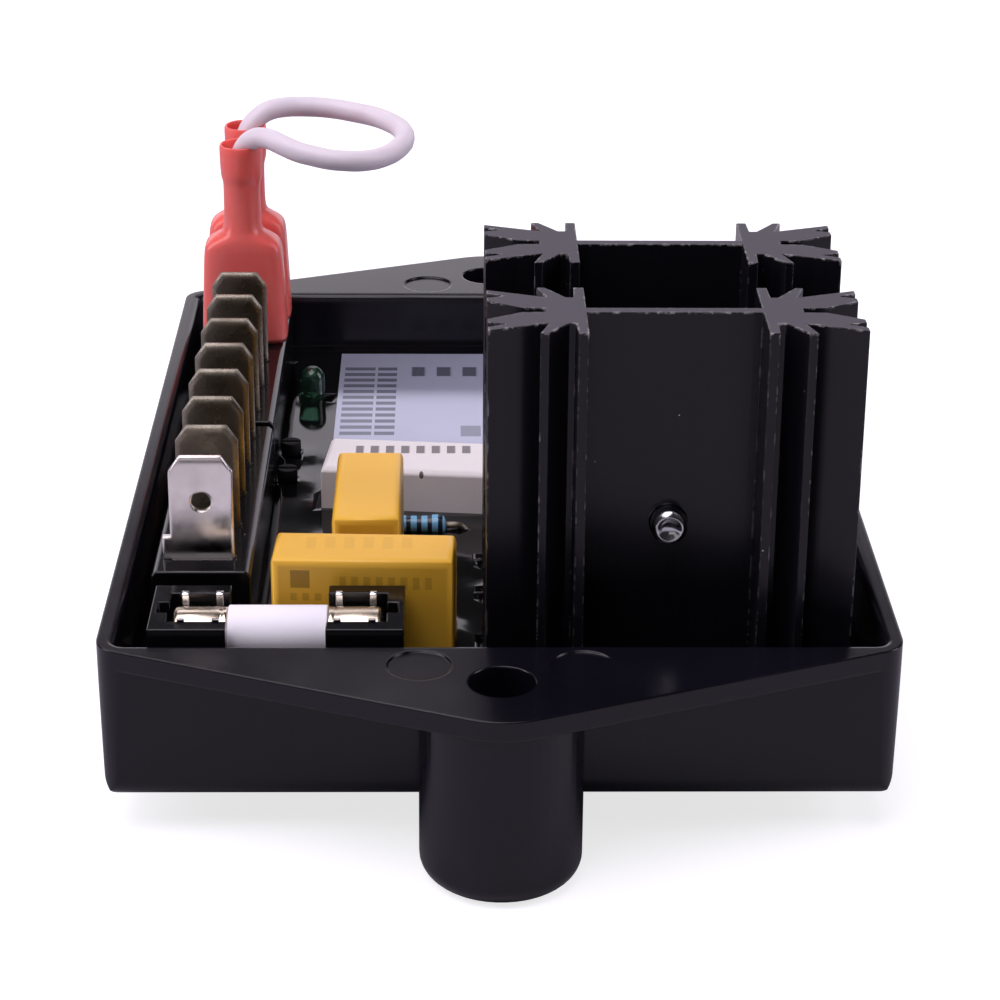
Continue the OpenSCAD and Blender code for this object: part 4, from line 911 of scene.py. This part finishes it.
@dataclass
class JumperLead:
    """White loop of wire between two red push-on receptacles."""

    wire_mm: float = 2.4
    body_half_mm: tuple[float, float] = (5.15, 2.9)
    shoulder_half_mm: tuple[float, float] = (4.6, 2.7)
    foot_z_mm: float = 20.2
    wall_mm: float = 0.35
    dent: float = 0.035
    route_mm: tuple[Point, ...] = (
        (-29.6, 32.9, 39.9), (-29.6, 32.9, 41.1), (-29.4, 32.7, 42.75), (-28.75, 32.15, 44.2),
        (-27.8, 31.35, 45.25), (-26.7, 30.4, 45.75), (-25.5, 29.45, 45.75), (-24.1, 28.4, 45.4),
        (-22.3, 27.4, 44.9), (-20.5, 26.8, 44.6), (-18.7, 26.5, 44.3), (-16.9, 26.6, 44.1),
        (-15.1, 27.2, 43.9), (-12.6, 29.2, 43.8), (-10.8, 32.2, 44), (-10.15, 35.4, 44.2),
        (-10.6, 38.4, 44.5), (-12.3, 41, 44.8), (-13.9, 42.3, 45), (-15.9, 43.2, 45.2),
        (-19.3, 44.2, 45.5), (-22.6, 44.15, 45.7), (-24.7, 43.5, 45.8), (-26.4, 42.55, 45.7),
        (-27.6, 41.8, 45.2), (-28.65, 41.1, 44.2), (-29.35, 40.65, 42.75), (-29.6, 40.5, 41.1),
        (-29.6, 40.5, 39.9))

    def build(self) -> None:
        """Make the wire and both receptacles."""
        self.lay_wire()
        red = RED_VINYL.build()
        for row in Row:
            self.sleeve(row, red)
        dress(TINNED.build(), "receptacle_contact_front", "receptacle_contact_rear")

    def lay_wire(self) -> None:
        """Lay the wire along its route as one smooth curve."""
        data = bpy.data.curves.new("jumper_loop", "CURVE")
        data.dimensions = "3D"
        data.bevel_depth = 0.5 * self.wire_mm * MM
        data.bevel_resolution = 6
        data.resolution_u = 8
        data.use_fill_caps = True
        line = data.splines.new("BEZIER")
        line.bezier_points.add(len(self.route_mm) - 1)
        for knot, place in zip(line.bezier_points, self.route_mm):
            knot.co = Vector(place) * MM
            knot.handle_left_type = knot.handle_right_type = "AUTO"
        data.materials.append(WHITE_VINYL.build())
        wire = bpy.data.objects.new("jumper_loop", data)
        bpy.context.scene.collection.objects.link(wire)
        stand_for(wire, "jumper_wire")

    def sleeve(self, row: Row, material: Material) -> None:
        """Make one hollow sleeve by drawing a flat tube up into a round barrel.

        Args:
            row: Which receptacle.
            material: The red vinyl.
        """
        node = f"receptacle_sleeve_{row.value}"
        low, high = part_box(node)
        centre = Vector(((low[0] + high[0]) / 2, (low[1] + high[1]) / 2, 0.0))
        wide, deep = self.body_half_mm
        top_wide, top_deep = self.shoulder_half_mm
        # Height, half width, half depth and roundness of each ring: 0 is a flat tube and 1 a circle
        rings = ((0.0, wide, deep, 0.0), (4.0, wide - 0.18, deep, 0.0), (8.0, wide - 0.36, deep - 0.1, 0.0),
                 (11.1, top_wide + 0.05, top_deep, 0.0), (11.9, top_wide - 0.1, top_deep - 0.02, 0.05),
                 (12.5, top_wide - 0.4, top_deep - 0.08, 0.15), (13.1, 3.3, 2.5, 0.45),
                 (13.5, 2.62, 2.38, 0.8), (14.0, 2.25, 2.25, 1.0), (15.5, 2.2, 2.2, 1.0),
                 (18.0, 2.17, 2.17, 1.0), (19.4, 2.15, 2.15, 1.0), (19.9, 2.25, 2.25, 1.0),
                 (20.4, 2.44, 2.44, 1.0), (22.2, 2.5, 2.5, 1.0), (23.7, 2.54, 2.54, 1.0),
                 (24.2, 2.52, 2.52, 1.0))
        shape = bmesh.new()
        bmesh.ops.create_circle(shape, cap_ends=False, segments=48, radius=1.0)
        base = [v.co.copy() for v in shape.verts]
        loop = list(shape.verts)
        edges = list(shape.edges)
        self.ring(loop, base, rings[0], centre)
        for ring in rings[1:]:
            made = bmesh.ops.extrude_edge_only(shape, edges=edges)["geom"]
            fresh = [g for g in made if isinstance(g, bmesh.types.BMVert)]
            lines = [g for g in made if isinstance(g, bmesh.types.BMEdge)]
            edges = [e for e in lines if all(v in fresh for v in e.verts)]
            order = {tuple(round(c, 9) for c in old.co): i for i, old in enumerate(loop)}
            fresh.sort(key=lambda v: order[tuple(round(c, 9) for c in v.co)])
            self.ring(fresh, base, ring, centre)
            loop = fresh
        bmesh.ops.recalc_face_normals(shape, faces=shape.faces)
        bmesh.ops.solidify(shape, geom=list(shape.faces), thickness=self.wall_mm * MM)
        bmesh.ops.recalc_face_normals(shape, faces=shape.faces)
        piece = object_of(f"red_sleeve_{row.value}", shape, material, 50.0)
        soften = piece.modifiers.new("soft_form", "SUBSURF")
        soften.levels = soften.render_levels = 1
        stand_for(piece, node)

    def ring(self, verts: list[bmesh.types.BMVert], base: list[Vector],
             ring: tuple[float, float, float, float], centre: Vector) -> None:
        """Move one ring of the sleeve to its shape, with the dents of a crimped barrel.

        Args:
            verts: The ring's vertices.
            base: Places of the same vertices on a unit circle.
            ring: Height, half width, half depth and roundness, in millimetres.
            centre: Axis of the receptacle.
        """
        height, wide, deep, roundness = ring
        # A low power squares the corners of a flat tube, and 1 keeps the circle
        power = 0.45 + 0.55 * roundness
        for vert, unit in zip(verts, base):
            x = math.copysign(abs(unit.x) ** power, unit.x) * wide
            y = math.copysign(abs(unit.y) ** power, unit.y) * deep
            dent = 1.0 + self.dent * roundness * noise.noise(Vector((2 * x, 2 * y, 0.6 * height)) / 3.0)
            vert.co = centre + Vector((x * dent, y * dent, self.foot_z_mm + height)) * MM


@dataclass
class TrayAndResin:
    """Black tray with its lugs, the resin poured into it and the label on the resin."""

    cell_mm: float = 1.6
    wave_mm: float = 11.0
    wave_height_mm: float = 0.03
    climb_mm: float = 0.2
    climb_reach_mm: float = 1.1
    sag_mm: float = 0.1
    calm_mm: float = 4.0

    def build(self) -> None:
        """Make the tray, the resin and the label."""
        case = object_of("tray_with_lugs", merged("case"), CASE_PLASTIC.build(), 12.0)
        even_normals(case)
        stand_for(case, "case")
        self.pour_resin()
        dress(LABEL_FILM.build(), "label")
        dress(LAMINATE.build(), "circuit_board")

    def pour_resin(self) -> None:
        """Cut the resin's surface into cells, then raise it where it wets walls and parts."""
        shape = merged("potting")
        low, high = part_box("potting")
        top = high[2]
        for axis in (0, 1):
            count = int((high[axis] - low[axis]) / (self.cell_mm * MM))
            for i in range(1, count):
                plane = Vector((0.0, 0.0, 0.0))
                plane[axis] = low[axis] + i * (high[axis] - low[axis]) / count
                normal = Vector((0.0, 0.0, 0.0))
                normal[axis] = 1.0
                surface = self.surface(shape, top)
                edges = {e for f in surface for e in f.edges}
                verts = {v for f in surface for v in f.verts}
                bmesh.ops.bisect_plane(shape, geom=[*surface, *edges, *verts], dist=WELD_MM * MM,
                                       plane_co=plane, plane_no=normal)
        self.wet(shape, top)
        piece = object_of("poured_resin", shape, RESIN.build(), 60.0)
        stand_for(piece, "potting")

    def surface(self, shape: Shape, top: float) -> list[bmesh.types.BMFace]:
        """Faces of the resin that lie open at its top."""
        return [f for f in shape.faces if f.normal.z > 0.9 and f.calc_center_median().z > top - 0.1 * MM]

    def wet(self, shape: Shape, top: float) -> None:
        """Give the resin's surface its waves and its climb at the edges.

        Args:
            shape: The resin.
            top: Height of its flat surface.
        """
        surface = self.surface(shape, top)
        verts = list({v for f in surface for v in f.verts})
        rim = [e for f in surface for e in f.edges if sum(g in surface for g in e.link_faces) == 1]
        points = [e.verts[0].co.lerp(e.verts[1].co, t / 4) for e in rim for t in range(5)]
        tree = kdtree.KDTree(len(points))
        for i, point in enumerate(points):
            tree.insert(point, i)
        tree.balance()
        label_low, label_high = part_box("label")
        lifts = []
        for vert in verts:
            gap = tree.find(vert.co)[2] / MM
            inside = min(vert.co.x - label_low[0], label_high[0] - vert.co.x,
                         vert.co.y - label_low[1], label_high[1] - vert.co.y) / MM
            calm = min(max(-inside / self.calm_mm, 0.0), 1.0)
            wave = noise.noise(vert.co / (self.wave_mm * MM)) * self.wave_height_mm * calm
            climb = self.climb_mm * math.exp(-gap / self.climb_reach_mm)
            lifts.append((vert, (wave - self.sag_mm * calm + climb) * MM))
        for vert, lift in lifts:
            vert.co.z += lift


@dataclass
class HeatSinks:
    """Two finned sinks with a power device screwed to the back of each."""

    edge_mm: float = 0.1
    device_edge_mm: float = 0.15
    screw_edge_mm: float = 0.15

    def build(self) -> None:
        """Make the sinks and dress what is fixed to them."""
        black = ANODISED.build()
        epoxy = EPOXY.build()
        for side in (row.value for row in Row):
            rounded(f"finned_sink_{side}", f"heat_sink_{side}", self.edge_mm, black)
            rounded(f"device_body_{side}", f"power_device_{side}", self.device_edge_mm, epoxy)
            dress(TINNED.build(), f"device_frame_{side}")
        dress(SILICONE.build(), "thermal_pad_front", "thermal_pad_rear")
        plated = PLATED.build()
        rounded("pan_head_screws", "sink_screws", self.screw_edge_mm, plated, segments=3)
        dress(plated, "sink_washers", "heat_sink_pins")
        dress(epoxy, "control_chip", "rectifier_diodes")


@dataclass
class TerminalRow:
    """Two moulded bases with a row of tinned blades."""

    blades: int = 10
    blade_edge_mm: float = 0.08
    base_edge_mm: float = 0.25

    def build(self) -> None:
        """Make the bases and the blades."""
        black = BASE_PLASTIC.build()
        for side in (row.value for row in Row):
            rounded(f"terminal_base_{side}", f"terminal_block_{side}", self.base_edge_mm, black)
        for i in range(1, self.blades + 1):
            # The first blade takes the lighter copy of the tin, whose colours are a painted reflection
            metal = (TINNED_WITH_PAINTED_REFLECTION if i == 1 else TINNED).build()
            rounded(f"blade_{i}", f"terminal_tab_{i}", self.blade_edge_mm, metal)


@dataclass
class FuseStation:
    """Open holder with spring clips and a ceramic cartridge fuse."""

    holder_edge_mm: float = 0.15
    clip_edge_mm: float = 0.06
    gap_mm: float = 0.05
    seat_mm: float = 0.3

    def build(self) -> None:
        """Make the holder, the clips and the fuse."""
        rounded("open_fuse_holder", "fuse_holder", self.holder_edge_mm, BASE_PLASTIC.build())
        nickel = NICKEL.build()
        plated = PLATED.build()
        for end in End:
            side = end.value
            rounded(f"spring_clip_{side}", f"fuse_clip_{side}", self.clip_edge_mm, plated)
            self.cap(end, nickel)
        self.tube()

    def cap(self, end: End, material: Material) -> None:
        """Turn one cap with a round end and a small dimple.

        Args:
            end: Which cap.
            material: The plating.
        """
        node = f"fuse_cap_{end.value}"
        low, high = (Vector(c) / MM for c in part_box(node))
        centre = (low + high) / 2
        r = (high.z - low.z) / 2
        length = high.x - low.x
        way = 1.0 if end is End.RIGHT else -1.0
        profile = [(0.0, length - 0.2), (0.5, length - 0.18), (0.8, length - 0.02), (r - 0.5, length),
                   (r - 0.2, length - 0.08), (r - 0.05, length - 0.28), (r, length - 0.5), (r, 0.9),
                   (r - 0.06, 0.75), (r - 0.06, 0.55), (r, 0.4), (r, 0.08), (r - 0.06, 0.0), (r - 0.2, 0.0),
                   (r - 0.22, length - 0.5), (0.0, length - 0.5)]
        mouth = low.x if end is End.RIGHT else high.x
        shape = turned([(radius, way * h) for radius, h in profile], (mouth, centre.y, centre.z), Axis.X)
        cap = object_of(f"plated_cap_{end.value}", shape, material, 60.0)
        stand_for(cap, node)

    def tube(self) -> None:
        """Turn the ceramic tube with softly rounded shoulders."""
        low, high = (Vector(c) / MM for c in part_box("fuse_body"))
        cap_low, cap_high = (Vector(c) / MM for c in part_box("fuse_cap_left"))
        centre = (low + high) / 2
        r = (high.z - low.z) / 2
        seat = (cap_high.z - cap_low.z) / 2 - self.seat_mm
        half = (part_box("fuse_cap_right")[0][0] / MM - cap_high.x) / 2 - self.gap_mm
        end = (high.x - low.x) / 2
        half_profile = [(0.0, end), (seat - 0.1, end), (seat, end - 0.1), (seat, half), (r - 0.12, half),
                        (r - 0.03, half - 0.05), (r, half - 0.14)]
        profile = half_profile + [(radius, -h) for radius, h in reversed(half_profile)]
        shape = turned(profile, tuple(centre), Axis.X)
        stand_for(object_of("ceramic_tube", shape, FUSE_CERAMIC.build(), 50.0), "fuse_body")


@dataclass
class BoardParts:
    """Capacitors, resistors, lamp and trimmers that stand out of the resin."""

    cement_edge_mm: float = 0.2
    adjuster_edge_mm: float = 0.08
    lamp_rim_mm: float = 0.8
    lamp_flange_mm: float = 0.4
    lamp_soft_mm: float = 0.08
    dome_steps: int = 10

    def build(self) -> None:
        """Make the parts and dress their leads."""
        yellow = CAPACITOR_BOX.build()
        for side in (row.value for row in Row):
            box = object_of(f"yellow_capacitor_{side}", merged(f"film_capacitor_{side}"), yellow, 50.0)
            even_normals(box)
            stand_for(box, f"film_capacitor_{side}")
        rounded("cement_block", "cement_resistor", self.cement_edge_mm, CEMENT.build(),
                segments=3, sharp_deg=20.0)
        self.film_resistor()
        self.lamp()
        dress(TINNED.build(), "capacitor_leads", "cement_resistor_leads", "film_resistor_leads",
              "status_led_leads")
        black = TRIMMER_PLASTIC.build()
        dress(black, "trimmer_body_front", "trimmer_body_rear")
        for row, body in ((Row.FRONT, Body.FRONT_ADJUSTER), (Row.REAR, Body.REAR_ADJUSTER)):
            rounded(f"adjuster_{row.value}", f"trimmer_rotor_{row.value}", self.adjuster_edge_mm, black,
                    body)

    def film_resistor(self) -> None:
        """Turn the small resistor with swollen ends."""
        low, high = (Vector(c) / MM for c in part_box("film_resistor"))
        centre = (low + high) / 2
        r = (high.z - low.z) / 2
        half = (high.x - low.x) / 2
        side = [(0.0, half), (0.45 * r, half - 0.03), (0.8 * r, half - 0.2), (0.97 * r, half - 0.5),
                (r, half - 0.9), (0.97 * r, half - 1.4), (0.89 * r, half - 1.9), (0.86 * r, half - 2.4)]
        profile = side + [(radius, -h) for radius, h in reversed(side)]
        shape = turned(profile, tuple(centre), Axis.X, 32)
        stand_for(object_of("blue_resistor", shape, LACQUER.build(), 60.0), "film_resistor")

    def lamp(self) -> None:
        """Turn the lamp's domed lens and its rim."""
        low, high = (Vector(c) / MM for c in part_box("status_led"))
        centre = (low + high) / 2
        rim = (high.x - low.x) / 2
        r = rim - self.lamp_flange_mm
        dome = high.z - r
        rim_top = low.z + self.lamp_rim_mm
        soft = self.lamp_soft_mm
        profile = [(0.0, low.z), (rim - soft, low.z), (rim, low.z + soft), (rim, rim_top - soft),
                   (rim - soft, rim_top), (r, rim_top)]
        angles = [math.radians(90 * k / self.dome_steps) for k in range(self.dome_steps)]
        profile += [(r * math.cos(a), dome + r * math.sin(a)) for a in angles]
        profile += [(0.0, high.z)]
        shape = turned(profile, (centre.x, centre.y, 0.0), Axis.Z, 40)
        stand_for(object_of("green_lamp", shape, LENS.build(), 40.0), "status_led")


def main() -> None:
    """Build the studio and every sub-assembly."""
    logging.basicConfig(level=logging.INFO, format="%(message)s")
    Studio().build()
    for group in (JumperLead(), TrayAndResin(), HeatSinks(), TerminalRow(), FuseStation(), BoardParts()):
        group.build()


if __name__ == "__main__":
    main()
